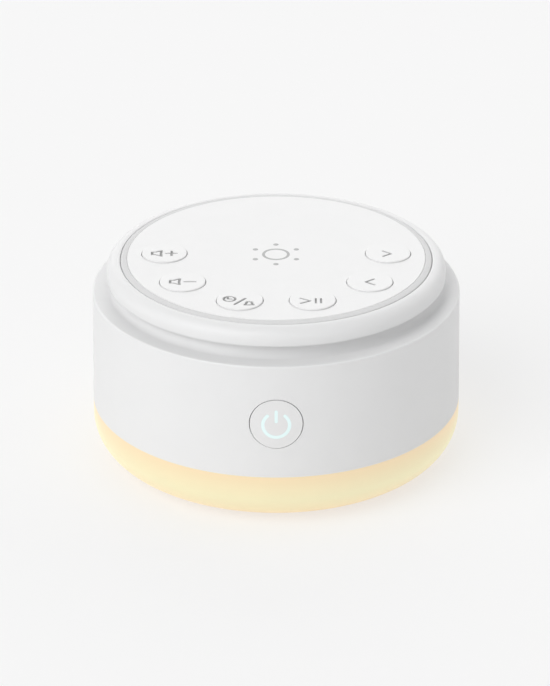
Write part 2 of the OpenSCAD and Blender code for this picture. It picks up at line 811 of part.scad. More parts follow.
module battery_pad() {
    margin = 3;
    color("dimgray") translate([margin - cell_l / 2, margin - cell_back - cell_w, z_deck])
        cube([cell_l - 2 * margin, cell_w - 2 * margin, pad_t]);
}

// Pouch cell with round long edges
module battery_cell() {
    color("silver") translate([0, -cell_back, z_deck + pad_t + cell_t / 2]) rotate([90, 0, 0])
        linear_extrude(cell_w) slot_section(cell_l, cell_t);
}

usb_mouth = wall_out(z_usb) - usb_set_back;
usb_foot = 4;                       // length of the inlet that stands on the board

// Half disc beside the battery, with a tongue that carries the inlet
module main_board() {
    tongue_side = 2.5;
    tongue_w = usb_w + 2 * tongue_side;
    color("seagreen") translate([0, 0, z_main_board]) difference() {
        linear_extrude(board_t) {
            intersection() {
                circle(main_board_r);
                translate([-main_board_r, board_front])
                    square([2 * main_board_r, main_board_r - board_front]);
            }
            translate([-tongue_w / 2, board_front])
                square([tongue_w, usb_mouth - usb_l + usb_foot - board_front]);
        }
        for (p = posts) at_board(p) clear_hole(board_t);
    }
}

// Chips and lead connectors as [place, [width, depth, height]], capacitors as [place, [diameter, height]]
board_chips = [[[138, 15.7], [7, 7, 1]], [[125.5, 9], [5.2, 5.2, 1.6]], [[38, 15.8], [5, 4.4, 1.2]],
    [[46, 7.3], [6, 6, 3]], [[11, 7.9], [6, 4.5, 4.8]], [[169, 7.9], [6, 4.5, 4.8]]];
board_cans = [[[147.5, 7.2], [6.3, 5.8]], [[26, 8.3], [6.3, 5.8]]];

module board_components() {
    color("darkslategray") translate([0, 0, z_parts]) {
        for (c = board_chips) at_board(c[0]) translate([-c[1][0] / 2, -c[1][1] / 2, 0]) cube(c[1]);
        for (c = board_cans) at_board(c[0]) cylinder(d = c[1][0], h = c[1][1]);
    }
}

module main_board_screws() {
    color("silver") for (p = posts) at_board(p) translate([0, 0, z_parts + head_h])
        mirror([0, 0, 1]) screw(board_t + post_grip);
}

// Inlet with a round-ended metal shell, a closed back and a contact tongue
module usb_socket() {
    back_t = 1;
    blade = [6.7, 0.7, 4.4];
    color("silver") translate([0, usb_mouth, z_usb]) rotate([90, 0, 0]) {
        difference() {
            linear_extrude(usb_l) slot_section(usb_w, usb_h);
            translate([0, 0, -past]) linear_extrude(usb_l - back_t + past)
                slot_section(usb_w - 2 * usb_t, usb_h - 2 * usb_t);
        }
        translate([-blade[0] / 2, -blade[1] / 2, usb_l - back_t - blade[2]])
            cube([blade[0], blade[1], blade[2] + eps]);
    }
}

// ---- power button ----

power_plunger_r = 1.7;
power_dip = 1;                      // depth of the plunger in its housing at rest

// The body of the drafted wall, grown outwards
module wall_body(growth) {
    rotate_extrude() polygon([[0, z_seam], [wall_out(z_seam) + growth, z_seam],
        [wall_out(z_shoulder) + growth, z_shoulder], [0, z_shoulder]]);
}

// A round bar along the button's axis, from one y to another
module power_bar(r, from, to) {
    translate([0, to, z_power]) rotate([90, 0, 0]) cylinder(r = r, h = to - from);
}

module power_button() {
    color("white") difference() {
        union() {
            intersection() {
                wall_body(power_proud);
                power_bar(power_r, -seam_r - past, power_front + eps);
            }
            power_bar(power_flange_r, power_front, power_back);
        }
        intersection() {
            wall_body(power_proud - power_wall);
            power_bar(power_r - power_wall, -seam_r - past, power_back + past);
        }
    }
}

// Clear core behind the cap, with the stem that presses the switch
module power_lens() {
    color("lightcyan") {
        intersection() {
            wall_body(power_proud - power_wall);
            power_bar(power_r - power_wall - seat_gap / 2, -seam_r - past, power_back - power_flange_t / 2);
        }
        power_bar(lens_stem_d / 2, power_front, power_stem_end);
    }
}

module power_plunger() {
    color("dimgray") power_bar(power_plunger_r, power_stem_end, power_switch_y + power_dip);
}

module power_switch() {
    color("darkgray") difference() {
        translate([-power_switch_w / 2, power_switch_y, z_power - power_switch_w / 2])
            cube([power_switch_w, power_switch_h, power_switch_w]);
        power_bar(power_plunger_r + plunger_gap, power_switch_y - past,
            power_switch_y + power_dip + power_travel + plunger_gap);
    }
}

module power_board() {
    half = rail_x + rail_grip;
    color("seagreen") translate([-half, power_board_y - board_t / 2, z_deck])
        cube([2 * half, board_t, rail_h - rail_grip]);
}

module power_leds() {
    led = [1.6, 0.8, 2];
    color("lightcyan") for (side = [-1, 1])
        translate([side * (power_switch_w / 2 + led[0]) - led[0] / 2,
            power_board_y - board_t / 2 - led[1], z_power - led[2] / 2]) cube(led);
}

// ---- base ----

module led_board() {
    color("white") translate([0, 0, z_chassis - board_t])
        ring(led_board_r, led_board_r - led_board_w, board_t);
}

module glow_leds() {
    led = [2.8, 3.5, 1.2];
    color("lightyellow") for (i = [0:led_count - 1]) rotate([0, 0, 360 * i / led_count])
        translate([led_mid - led[0] / 2, -led[1] / 2, z_chassis - board_t - led[2]]) cube(led);
}

// Translucent bowl with a wide bottom radius, a tongue into the wall and a ledge for the base plate
module glow_base() {
    color("moccasin") rotate_extrude() {
        difference() {
            translate([0, z_base]) square([seam_r, base_h]);
            round_bottom(seam_r, z_base, base_round);
            difference() {
                translate([0, z_base + base_t]) square([diffuser_in, base_h]);
                round_bottom(diffuser_in, z_base + base_t, base_round - base_t);
            }
            translate([0, z_base - past]) square([plate_r + seat_gap, plate_t / 2 + past]);
            translate([0, z_base - past]) square([plug_r + seat_gap, base_t + 2 * past]);
        }
        translate([diffuser_in, z_seam - eps]) square([tongue_t, tongue_h + eps]);
    }
}

module base_plate() {
    color("whitesmoke") translate([0, 0, z_base]) difference() {
        union() {
            cylinder(r = plate_r, h = plate_t / 2);
            cylinder(r = plug_r, h = plate_t);
            four(base_screw_r, 0) cylinder(r = cup_r, h = cup_h);
        }
        four(base_screw_r, 0) {
            translate([0, 0, -past]) cylinder(d = head_d + 2 * pass_gap, h = past + cup_h - cup_web);
            clear_hole(cup_h);
        }
        four(foot_ring_r) translate([0, 0, -past])
            cylinder(d = foot_d + seat_gap, h = foot_pocket + past);
    }
}

module base_screws() {
    color("silver") four(base_screw_r, 0) translate([0, 0, z_cup - cup_web - head_h]) screw(cup_web + grip);
}

module feet() {
    foot_round = 0.4;
    color("gray") four(foot_ring_r) rotate_extrude() difference() {
        square([foot_d / 2, foot_proud + foot_pocket]);
        round_bottom(foot_d / 2, 0, foot_round);
    }
}

outer_shell();
sound_ring();
top_collar();
control_disc();
volume_up_key();
volume_down_key();
timer_key();
play_pause_key();
previous_key();
next_key();
volume_up_plunger();
volume_down_plunger();
timer_plunger();
play_pause_plunger();
previous_plunger();
next_plunger();
key_switches();
key_board();
key_board_screws();
touch_spring();
collar_screws();
speaker_baffle();
speaker_gasket();
speaker_basket();
speaker_surround();
speaker_cone();
speaker_dust_cap();
voice_coil();
speaker_spider();
speaker_top_plate();
speaker_magnet();
speaker_yoke();
speaker_screws();
chassis();
chassis_screws();
battery_cell();
battery_pad();
main_board();
board_components();
main_board_screws();
usb_socket();
power_button();
power_lens();
power_plunger();
power_switch();
power_board();
power_leds();
led_board();
glow_leds();
glow_base();
base_plate();
base_screws();
feet();
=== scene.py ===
"""White noise sound machine: the finished look of the packed model.

The wall, the sound ring and the control disc keep their CAD surfaces, in moulded plastic. The collar is made
again with a rounder bead, with a soft seal between the bead and the disc, whose darker grey is painted shade
of the groove there, and a cove at the foot of the neck. The six keys are made again with engraved signs,
with painted grey shade at the bottom of the grooves. The disc gets its printed touch mark, the power button
its lit sign and the base its warm glow. Everything inside is finished too, with painted shade between the
turns of the coil's winding. Metres, +Z up, front towards -Y.
"""
import json
import math

import bpy
import numpy as np
from bpy.props import FloatProperty, FloatVectorProperty, PointerProperty
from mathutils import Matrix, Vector


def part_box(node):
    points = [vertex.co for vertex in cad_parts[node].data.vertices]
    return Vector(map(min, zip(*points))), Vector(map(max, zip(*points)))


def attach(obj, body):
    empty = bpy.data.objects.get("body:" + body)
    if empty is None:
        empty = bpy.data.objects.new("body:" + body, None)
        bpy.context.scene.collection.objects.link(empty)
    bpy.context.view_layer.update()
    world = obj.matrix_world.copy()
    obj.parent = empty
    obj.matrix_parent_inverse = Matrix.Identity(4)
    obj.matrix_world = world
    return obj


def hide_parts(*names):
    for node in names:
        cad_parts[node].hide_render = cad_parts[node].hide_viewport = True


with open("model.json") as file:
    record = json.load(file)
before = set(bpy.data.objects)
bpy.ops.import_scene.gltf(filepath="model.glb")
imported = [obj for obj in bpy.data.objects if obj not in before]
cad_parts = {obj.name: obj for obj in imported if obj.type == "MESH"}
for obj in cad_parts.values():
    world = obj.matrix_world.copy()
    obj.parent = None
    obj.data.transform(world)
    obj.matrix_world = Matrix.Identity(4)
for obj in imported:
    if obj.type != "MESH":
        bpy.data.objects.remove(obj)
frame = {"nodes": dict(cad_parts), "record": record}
NODES = frame["nodes"]
SLOTS = {row["slot"]: row for row in frame["record"]["materials"]}
SLOT_OF = {row["node"]: row["material_slot"] for row in frame["record"]["subparts"]}
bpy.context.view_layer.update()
MM = 0.001

bl_info = {
    "name": "White noise sound machine",
    "version": (1, 0, 0),
    "blender": (4, 5, 0),
    "location": "3D View > Sidebar > Sound machine",
    "description": "Finishes the packed sound machine: collar, keys, signs, plastics and night light",
    "category": "Object",
}


# ---- sizes and colours that a user would change ----

def colour_property(name, description, default):
    """A linear RGB colour setting."""
    return FloatVectorProperty(name=name, description=description, default=default, subtype="COLOR",
                               size=3, min=0.0, max=1.0)


def length_property(name, description, default, least, precision=5):
    """A length setting, with its default and its least value in millimetres."""
    return FloatProperty(name=name, description=description, default=default * MM, min=least * MM,
                         unit="LENGTH", precision=precision)


def level_property(name, description, default):
    """A strength that is never below 0."""
    return FloatProperty(name=name, description=description, default=default, min=0.0)


class CaseSettings(bpy.types.PropertyGroup):
    """Colours, roundings and grain of the white mouldings."""
    case_colour: colour_property("Case", "Colour of the wall, the shoulder, the sound ring and the collar",
                                 (0.786, 0.787, 0.789))
    top_colour: colour_property("Top", "Colour of the control disc", (0.836, 0.836, 0.836))
    key_colour: colour_property("Keys", "Colour of the push keys", (0.836, 0.836, 0.836))
    # The seal's grey, darker than the case, is painted shade of the groove between the disc and the bead.
    seal_shade_colour: colour_property("Seal", "Colour of the soft seal round the disc", (0.69, 0.69, 0.692))
    bead: length_property("Bead", "Radius of the collar's round bead", 3.2, 1.0)
    cove: length_property("Cove", "Radius of the cove at the foot of the neck", 2.45, 0.5)
    grain: length_property("Grain", "Height of the moulded texture on the white plastic", 0.006, 0.0, 6)


class SignSettings(bpy.types.PropertyGroup):
    """Signs on the keys, the disc and the power button."""
    stroke: length_property("Stroke", "Width of the engraved strokes on the keys", 0.62, 0.1)
    depth: length_property("Depth", "Depth of the engraved strokes on the keys", 0.36, 0.0)
    # Grey in the engraved strokes is painted shade in the grooves.
    groove_shade_colour: colour_property("Groove", "Colour in the engraved strokes", (0.34, 0.34, 0.34))
    print_colour: colour_property("Touch mark", "Colour of the printed touch mark", (0.43, 0.43, 0.43))
    ring_d: length_property("Mark's ring", "Outer diameter of the touch mark's ring", 7.55, 1.0)
    ray_reach: length_property("Mark's dots", "Distance from the middle of the mark to its dots", 6.43, 1.0)
    power_colour: colour_property("Power sign", "Colour of the power button's lit sign", (0.25, 1.0, 1.0))
    power_glow: level_property("Power glow", "Strength of the power button's lit sign", 0.1)


class GlowSettings(bpy.types.PropertyGroup):
    """Night light in the base."""
    diffuser_colour: colour_property("Diffuser", "Colour of the diffuser itself", (0.5, 0.425, 0.25))
    glow_colour: colour_property("Glow", "Colour of the light between the edges", (0.87, 0.87, 0.63))
    edge_colour: colour_property("Glow at the edges", "Colour of the light at the edges", (0.9, 0.63, 0.45))
    glow: level_property("Glow strength", "Strength of the night light", 0.47)


class StageSettings(bpy.types.PropertyGroup):
    """Floor, lamps, world and camera."""
    floor_colour: colour_property("Floor", "Colour of the floor", (0.93, 0.93, 0.93))
    plainness: FloatProperty(name="Plain floor", description="How far the floor is drawn as the backdrop",
                             default=0.62, min=0.0, max=1.0, subtype="FACTOR")
    sky: level_property("Sky", "Level of the even light from all round", 0.55)
    backdrop: level_property("Backdrop", "Level of the background behind the floor", 0.94)
    front_lamp: level_property("Front lamp", "Share of light from the left front", 0.47)
    rear_lamp: level_property("Rear lamp", "Share of light from behind", 0.23)
    side_lamp: level_property("Side lamp", "Share of light from the right rear", 0.1)


# ---- surfaces worked out with numpy ----

def box_mm(name):
    """Lowest and highest corner of a CAD node, in millimetres."""
    return np.array(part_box(name)) / MM


def make_piece(name, points, quads, triangles=(), smooth_below=35.0):
    """A mesh object from points in metres and index arrays of faces, shaded smooth except where two faces
    meet at more than an angle in degrees."""
    mesh = bpy.data.meshes.new(name)
    faces = np.asarray(quads).tolist() + np.asarray(triangles).tolist()
    mesh.from_pydata(np.asarray(points).tolist(), [], faces)
    mesh.polygons.foreach_set("use_smooth", np.ones(len(mesh.polygons), dtype=bool))
    mesh.set_sharp_from_angle(angle=math.radians(smooth_below))
    mesh.update()
    piece = bpy.data.objects.new(name, mesh)
    bpy.context.scene.collection.objects.link(piece)
    return piece


def grid_quads(rows, columns, wrap_rows=False, wrap_columns=False):
    """Quads of a grid whose point (row, column) has index row * columns + column. A wrapped direction joins
    its last line to its first."""
    row = np.arange(rows if wrap_rows else rows - 1)[:, None]
    column = np.arange(columns if wrap_columns else columns - 1)[None, :]
    next_row, next_column = (row + 1) % rows, (column + 1) % columns
    corners = (row * columns + column, row * columns + next_column,
               next_row * columns + next_column, next_row * columns + column)
    return np.stack(np.broadcast_arrays(*corners), axis=-1).reshape(-1, 4)


def fan(ring, pole):
    """Triangles from each point of a closed ring of indices and the next one to a pole."""
    return np.stack([ring, np.roll(ring, -1), np.full(len(ring), pole)], axis=1)


def around(radius, first, count):
    """Points spaced evenly on a circle about the z axis, from the first one's angle in degrees."""
    angle = np.radians(first + 360.0 / count * np.arange(count))
    return radius * np.stack([np.cos(angle), np.sin(angle), np.zeros(count)], axis=1)


def arc(middle, radius, start, end, steps):
    """Points on a circle in the plane of r and z, from one angle to another in degrees."""
    angle = np.radians(np.linspace(start, end, steps))
    return np.stack([middle[0] + radius * np.cos(angle), middle[1] + radius * np.sin(angle)], axis=1)


def ring_of(profile, columns):
    """A profile turned about the z axis: point (row, column) is (r cos a, r sin a, z), with r and z from the
    profile's row and a running once round over the columns."""
    angle = np.linspace(0.0, 2.0 * math.pi, columns, endpoint=False)
    r, z = np.asarray(profile).T
    return np.stack([r[:, None] * np.cos(angle), r[:, None] * np.sin(angle),
                     np.broadcast_to(z[:, None], (len(r), columns))], axis=-1)


TURNED_COLUMNS = 256


def turned(loop, columns):
    """Points and quads of a closed loop of r and z, counter-clockwise with z up, turned about the z axis."""
    points = ring_of(loop, columns).reshape(-1, 3)
    return points, grid_quads(len(loop), columns, wrap_rows=True, wrap_columns=True)


def turned_piece(name, loop, smooth_below=35.0):
    """A mesh object from a closed loop in millimetres, turned about the z axis."""
    points, quads = turned(loop, TURNED_COLUMNS)
    return make_piece(name, points * MM, quads, (), smooth_below)


def join_parts(parts):
    """Points in metres, quads and triangles of several parts that are given in millimetres, as one."""
    start, points, quads, triangles = 0, [], [], []
    for part in parts:
        points.append(part[0])
        quads.append(part[1] + start)
        if len(part) > 2:
            triangles.append(part[2] + start)
        start += len(part[0])
    return np.concatenate(points) * MM, np.concatenate(quads), np.concatenate(triangles) if triangles else ()


# ---- collar, seal, bosses and cove, millimetres ----

COLLAR_LOW, COLLAR_HIGH = box_mm("top_collar")
DISC_HIGH = box_mm("control_disc")[1]
LIP_R, DISC_R, NECK_R = COLLAR_HIGH[0], DISC_HIGH[0], 43.3
CREST, LIP_Z = COLLAR_HIGH[2] - 0.4, COLLAR_HIGH[2] - 5.2
LEDGE_Z = DISC_HIGH[2] - 3.8
SEAT_Z, GROOVE_Z = LEDGE_Z + 1.8, CREST - 1.02
SEAT_R, LEDGE_R, BORE_R = DISC_R + 0.2, DISC_R - 2.8, LIP_R - 2.7
LIP_ROUNDING = 0.3
EDGE_ROUNDING, EDGE_DROP = 0.25, 0.3
SEAL_GAP, SEAL_SLACK, SEAL_LIFT = 0.03, 0.16, 0.02
SEAL_RISE, SEAL_FALL = 0.28, 0.25
SEAL_ROUNDING_IN, SEAL_ROUNDING_OUT = 0.12, 0.3
BOSS_R, BOSS_HOLE_R, BOSS_RISE = 2.5, 0.9, 0.9
BOSS_CIRCLE_R, BOSS_COUNT, BOSS_FIRST, BOSS_COLUMNS = 38.2, 4, 45.0, 32
COVE_ROOT_IN, COVE_ROOT_DOWN = 0.1, 0.05


def collar_loop(bead):
    """Section of the collar: a straight lip that runs over into a round bead, a flat groove beside the disc,
    the disc's seat and ledge, and the bore that fits over the neck."""
    bead_r = LIP_R - bead
    return np.concatenate([
        arc((LIP_R - LIP_ROUNDING, LIP_Z + LIP_ROUNDING), LIP_ROUNDING, -90, 0, 5),
        arc((bead_r, CREST - bead), bead, 0, 92, 22),
        arc((bead_r - EDGE_ROUNDING, CREST - EDGE_DROP), EDGE_ROUNDING, 95, 180, 5),
        [(bead_r - 2 * EDGE_ROUNDING, GROOVE_Z), (SEAT_R, GROOVE_Z), (SEAT_R, SEAT_Z), (LEDGE_R, SEAT_Z),
         (LEDGE_R, LEDGE_Z), (BORE_R, LEDGE_Z), (BORE_R, LIP_Z)]])


def seal_loop(bead):
    """Section of the soft seal in the groove beside the disc. Its top slopes down from the disc and is
    rounded off beside the bead."""
    inner_r, outer_r = DISC_R + SEAL_GAP, LIP_R - bead - 2 * EDGE_ROUNDING - SEAL_SLACK
    low, top = GROOVE_Z + SEAL_LIFT, CREST + SEAL_RISE
    outer_middle = (outer_r - SEAL_ROUNDING_OUT, top - SEAL_FALL - SEAL_ROUNDING_OUT)
    inner_middle = (inner_r + SEAL_ROUNDING_IN, top - SEAL_ROUNDING_IN)
    return np.concatenate([[(inner_r, low), (outer_r, low)], arc(outer_middle, SEAL_ROUNDING_OUT, 0, 80, 6),
                           arc(inner_middle, SEAL_ROUNDING_IN, 90, 180, 4)])


def cove_loop(foot_z, radius):
    """Section of the coved foot of the neck: a quarter circle that leaves the neck upright and meets the
    shoulder flat, with its root sunk a little into both."""
    root_r, root_z = NECK_R - COVE_ROOT_IN, foot_z - COVE_ROOT_DOWN
    return np.concatenate([arc((NECK_R + radius, foot_z + radius), radius, 270, 180, 14),
                           [(root_r, foot_z + radius), (root_r, root_z), (NECK_R + radius, root_z)]])


def collar_bosses():
    """Points, quads and triangles of the screw bosses, tubes that reach up into the ledge."""
    low, top = COLLAR_LOW[2], LEDGE_Z + BOSS_RISE
    loop = [(BOSS_HOLE_R, low), (BOSS_R, low), (BOSS_R, top), (BOSS_HOLE_R, top)]
    tube, quads = turned(loop, BOSS_COLUMNS)
    return join_parts([(tube + middle, quads) for middle in around(BOSS_CIRCLE_R, BOSS_FIRST, BOSS_COUNT)])


# ---- engraved signs, millimetres from the middle of the key, x to the right and y to the rear ----

def path_strokes(*points):
    """Straight strokes that join the points in order."""
    return [("line", *a, *b) for a, b in zip(points[:-1], points[1:])]


def speaker_strokes(dy):
    """Loudspeaker in outline: a short box that opens into a horn."""
    upper = [(-3.3, 0.8), (-2.35, 0.85), (-1.5, 1.35), (-0.75, 1.8), (-0.85, 0.9), (-0.9, 0.0)]
    lower = [(x, -y) for x, y in upper[-2::-1]]
    return path_strokes(*[(x, dy + y) for x, y in upper + lower + upper[:1]])


def bell_strokes(x, y):
    """Small bell in outline: a dome with flared sides on a flat foot."""
    left = [(-1.2, -1.0), (-0.8, -0.3), (-0.75, 0.4), (-0.4, 1.0)]
    right = [(-dx, dy) for dx, dy in left[::-1]]
    return path_strokes(*[(x + dx, y + dy) for dx, dy in left + right + left[:1]])


SIGNS = {
    "volume_up": speaker_strokes(-0.45) + [("line", 0.55, -0.45, 3.45, -0.45), ("line", 2.0, 1.0, 2.0, -1.9)],
    "volume_down": speaker_strokes(-0.35) + [("line", 0.55, -0.35, 3.4, -0.35)],
    "timer": [("ring", -2.68, 0.35, 1.5)] + path_strokes((-3.1, 1.2), (-3.1, 0.3), (-2.1, 0.3))
    + [("line", -1.3, -3.0, 1.5, 0.7)] + bell_strokes(2.5, -2.3),
    "play_pause": path_strokes((-3.1, 0.75), (-0.55, -0.8), (-3.1, -2.35))
    + [("bar", 0.83, -0.75, 0.24, 1.6), ("bar", 2.2, -0.75, 0.24, 1.6)],
    "previous": path_strokes((1.15, 1.3), (-1.1, -0.5), (1.15, -2.3)),
    "next": path_strokes((-1.35, 1.1), (0.85, -0.65), (-1.35, -2.4)),
}
BAR_CORNER = 0.3


def outside_line(x, y, x0, y0, x1, y1, half):
    """Distance to a straight stroke: how far the point is from its projection on the line, held between
    the line's ends."""
    dx, dy = x1 - x0, y1 - y0
    along = np.clip(((x - x0) * dx + (y - y0) * dy) / (dx * dx + dy * dy), 0.0, 1.0)
    return np.hypot(x - x0 - along * dx, y - y0 - along * dy) - half


def outside_ring(x, y, middle_x, middle_y, radius, half):
    """Distance to a ring's stroke: how far the point's own radius is from the ring's."""
    return np.abs(np.hypot(x - middle_x, y - middle_y) - radius) - half


def outside_bar(x, y, middle_x, middle_y, half_x, half_y, half):
    """Distance to a solid bar with corners rounded by a share of the stroke's half width."""
    soft = BAR_CORNER * half
    return np.hypot(np.maximum(np.abs(x - middle_x) - half_x + soft, 0.0),
                    np.maximum(np.abs(y - middle_y) - half_y + soft, 0.0)) - soft


OUTSIDE = {"line": outside_line, "ring": outside_ring, "bar": outside_bar}


def engraving(x, y, strokes, half, slope):
    """0 on the face and 1 at the bottom of a groove, with walls that take the given width."""
    distance = np.min([OUTSIDE[kind](x, y, *numbers, half) for kind, *numbers in strokes], axis=0)
    return np.clip((slope / 2 - distance) / slope, 0.0, 1.0)


# ---- push keys, millimetres, heights from the face ----

FACE_LINES = 190
CAP_R, FLANGE_R, ROUNDING = 6.1, 6.9, 0.25
HOLLOW_R, HOLLOW_IN, STEM_R = 4.9, 2.6, 2.0
FLANGE_TOP, FLANGE_LOW, HOLLOW_TOP, STEM_LOW = -2.35, -3.35, -1.2, -4.15
NOTCH_HALF, NOTCH_R = 0.7, 6.16
GROOVE_WALL = 0.1


def key_profile(flat_r):
    """Section of a key from the rim of its flat face down the cap, round the flange, up into the hollow and
    down the stem."""
    turn = np.linspace(0.0, math.pi / 2, 5)[1:]
    rim = np.stack([flat_r + ROUNDING * np.sin(turn), ROUNDING * (np.cos(turn) - 1)], axis=1)
    return np.concatenate([rim, [
        (CAP_R, FLANGE_TOP), (FLANGE_R, FLANGE_TOP), (FLANGE_R, FLANGE_LOW), (HOLLOW_R, FLANGE_LOW),
        (HOLLOW_R, HOLLOW_TOP), (HOLLOW_IN, HOLLOW_TOP), (HOLLOW_IN, FLANGE_LOW), (STEM_R, FLANGE_LOW),
        (STEM_R, STEM_LOW)]])


def square_edge(lines):
    """Indices of the points once round the edge of a square grid."""
    index = np.arange(lines ** 2).reshape(lines, lines)
    return np.concatenate([index[0, :-1], index[:-1, -1], index[-1, :0:-1], index[:0:-1, 0]])


def key_mesh(name, strokes, place, signs):
    """A push key with the middle of its face at a place. The face is a square grid bent onto a disc,
    x = u * sqrt(1 - v^2 / 2) and y = v * sqrt(1 - u^2 / 2), lowered by the engraving. The grid's edge then
    follows the profile, with a notch in the flange towards the middle of the disc, and closes in a pole."""
    line = np.linspace(-1.0, 1.0, FACE_LINES)
    u, v = np.meshgrid(line, line)
    flat_r = CAP_R - ROUNDING
    x, y = flat_r * u * np.sqrt(1 - v * v / 2), flat_r * v * np.sqrt(1 - u * u / 2)
    cut = engraving(x, y, strokes, signs.stroke / MM / 2, GROOVE_WALL)
    top = np.stack([x, y, -cut * signs.depth / MM], axis=-1).reshape(-1, 3)
    edge = square_edge(FACE_LINES)
    angle = np.arctan2(top[edge, 1], top[edge, 0])
    profile = key_profile(flat_r)
    r = np.repeat(profile[:, :1], len(edge), axis=1)
    off = np.angle(np.exp(1j * (angle - math.atan2(-place[1], -place[0]))))
    r[(r > NOTCH_R) & (np.abs(off) < NOTCH_HALF / FLANGE_R)[None, :]] = NOTCH_R
    z = np.broadcast_to(profile[:, 1:], r.shape)
    rings = np.stack([r * np.cos(angle), r * np.sin(angle), z], axis=-1)
    points = np.concatenate([top, rings.reshape(-1, 3), [(0.0, 0.0, STEM_LOW)]])
    wrap = np.concatenate([edge[None, :], len(top) + np.arange(r.size).reshape(r.shape)])
    beside = np.roll(wrap, -1, axis=1)
    sides = np.stack([wrap[1:], beside[1:], beside[:-1], wrap[:-1]], axis=-1).reshape(-1, 4)
    quads = np.concatenate([grid_quads(FACE_LINES, FACE_LINES), sides])
    piece = make_piece(name, (points + place) * MM, quads, fan(wrap[-1], len(points) - 1)[:, ::-1])
    # The engraving's depth, kept at the points, also masks the painted shade in the grooves.
    mark = piece.data.attributes.new("sign", "FLOAT", "POINT")
    mark.data.foreach_set("value", np.concatenate([cut.ravel(), np.zeros(len(points) - cut.size)]))
    return piece


# ---- printed and lit signs, millimetres ----

MARK_MIDDLE = (-0.07, 0.55)
MARK_RISE, MARK_SINK = 0.02, 0.05
RING_STROKE, RING_COLUMNS = 0.78, 96
DOT_R, DOT_TAPER, DOT_COLUMNS = 0.74, 0.98, 40
DOT_COUNT, DOT_FIRST = 6, 30.0
WALL_TOP_R, BUTTON_RISE = 50.0, 0.15
POWER_R, POWER_DROP, POWER_OPENING = 3.48, 0.22, 33.5
BEND_WIDTH, BEND_STEPS = 0.88, 121
BAR_LOW, BAR_TOP, BAR_WIDTH, BAR_STEPS = 0.6, 4.3, 0.85, 25
RIBBON_THICKNESS, RIBBON_RISE, RIBBON_BLUNT = 0.08, 0.02, 0.995


def ring_print(middle, outer_r):
    """A printed ring: a flat lens-shaped section, z = rise * sqrt(1 - s^2) over the stroke's width, turned
    about the mark's middle and closed below the surface."""
    s = np.linspace(1.0, -1.0, 9)
    r = outer_r - RING_STROKE / 2 + np.concatenate([s, s[::-1][1:-1]]) * RING_STROKE / 2
    z = np.concatenate([MARK_RISE * np.sqrt(1 - s * s), np.full(len(s) - 2, -MARK_SINK)])
    points, quads = turned(np.stack([r, z], axis=1), RING_COLUMNS)
    return points + middle, quads


def dot_print(middle):
    """A printed dot: a low dome, z = rise * sqrt(1 - (r / R)^2), with a pole on top and a flat foot with its
    own pole below the surface."""
    spread = np.sin(np.linspace(0.0, math.pi / 2, 7)[1:])
    dome = np.stack([DOT_R * spread, MARK_RISE * np.sqrt(1 - spread ** 2)], axis=1)
    profile = np.concatenate([dome, [(DOT_R * DOT_TAPER, -MARK_SINK)]])
    poles = [(0.0, 0.0, MARK_RISE), (0.0, 0.0, -MARK_SINK)]
    points = np.concatenate([ring_of(profile, DOT_COLUMNS).reshape(-1, 3), poles])
    first = np.arange(DOT_COLUMNS)
    last = (len(profile) - 1) * DOT_COLUMNS + first
    quads = grid_quads(len(profile), DOT_COLUMNS, wrap_columns=True)[:, ::-1]
    ends = np.concatenate([fan(first, len(points) - 2), fan(last, len(points) - 1)[:, ::-1]])
    return points + middle, quads, ends


def button_front(z):
    """Radius of the power button's face at a height: the drafted wall plus the button's rise."""
    low, high = box_mm("outer_shell")
    return WALL_TOP_R + (high[0] - WALL_TOP_R) * (high[2] - z) / (high[2] - low[2]) + BUTTON_RISE


def ribbon_end(ring):
    """Quads across a ribbon's end, whose ring of indices runs along its outer side and back on the inner."""
    strips, back = len(ring) // 2 - 1, ring[::-1]
    return np.stack([ring[:strips], ring[1:strips + 1], back[1:strips + 1], back[:strips]], axis=1)


def ribbon_print(path, width):
    """A flat ribbon on the turned front of the power button, along a path of x and z. A section's half width
    is width / 2 * sqrt(1 - e^2) within half a width of an end, where e is how far into that end it is, held
    just below 1, so that both ends are round. The point (x, z) lies at y = -sqrt(front(z)^2 - x^2)."""
    step = np.gradient(path, axis=0)
    step /= np.linalg.norm(step, axis=1)[:, None]
    along = np.concatenate([[0.0], np.cumsum(np.linalg.norm(np.diff(path, axis=0), axis=1))])
    inner = np.minimum(along, along[-1] - along)
    end = np.clip(1 - inner / (width / 2), 0.0, RIBBON_BLUNT)
    half = width / 2 * np.sqrt(1 - end ** 2)
    side = np.stack([-step[:, 1], step[:, 0]], axis=1) * half[:, None]
    across = np.linspace(1.0, -1.0, 5)
    flat = path[:, None, :] + across[None, :, None] * side[:, None, :]
    front = np.sqrt((button_front(flat[..., 1]) + RIBBON_RISE) ** 2 - flat[..., 0] ** 2)
    outside = np.stack([flat[..., 0], -front, flat[..., 1]], axis=-1)
    inside = outside + (0.0, RIBBON_THICKNESS, 0.0)
    loop = np.concatenate([outside, inside[:, ::-1]], axis=1)
    rows, columns = loop.shape[:2]
    first = np.arange(columns)
    quads = grid_quads(rows, columns, wrap_columns=True)
    ends = [ribbon_end(first)[:, ::-1], ribbon_end((rows - 1) * columns + first)]
    return loop.reshape(-1, 3), np.concatenate([quads, *ends])


# ---- finishes ----

EVEN = (1, 1, 1)
MIX_BELOW, MIX_ABOVE, MIX_RESULT = 6, 7, 2


def feed(tree, node, inputs):
    """Gives each input of a node, by its name or number, a value or the socket that feeds it."""
    for place, value in inputs.items():
        if isinstance(value, bpy.types.NodeSocket):
            tree.links.new(value, node.inputs[place])
        else:
            node.inputs[place].default_value = value


def new_node(tree, kind, inputs=None, **settings):
    """A new node with its settings and its inputs."""
    made = tree.nodes.new(kind)
    for key, value in settings.items():
        setattr(made, key, value)
    feed(tree, made, inputs or {})
    return made


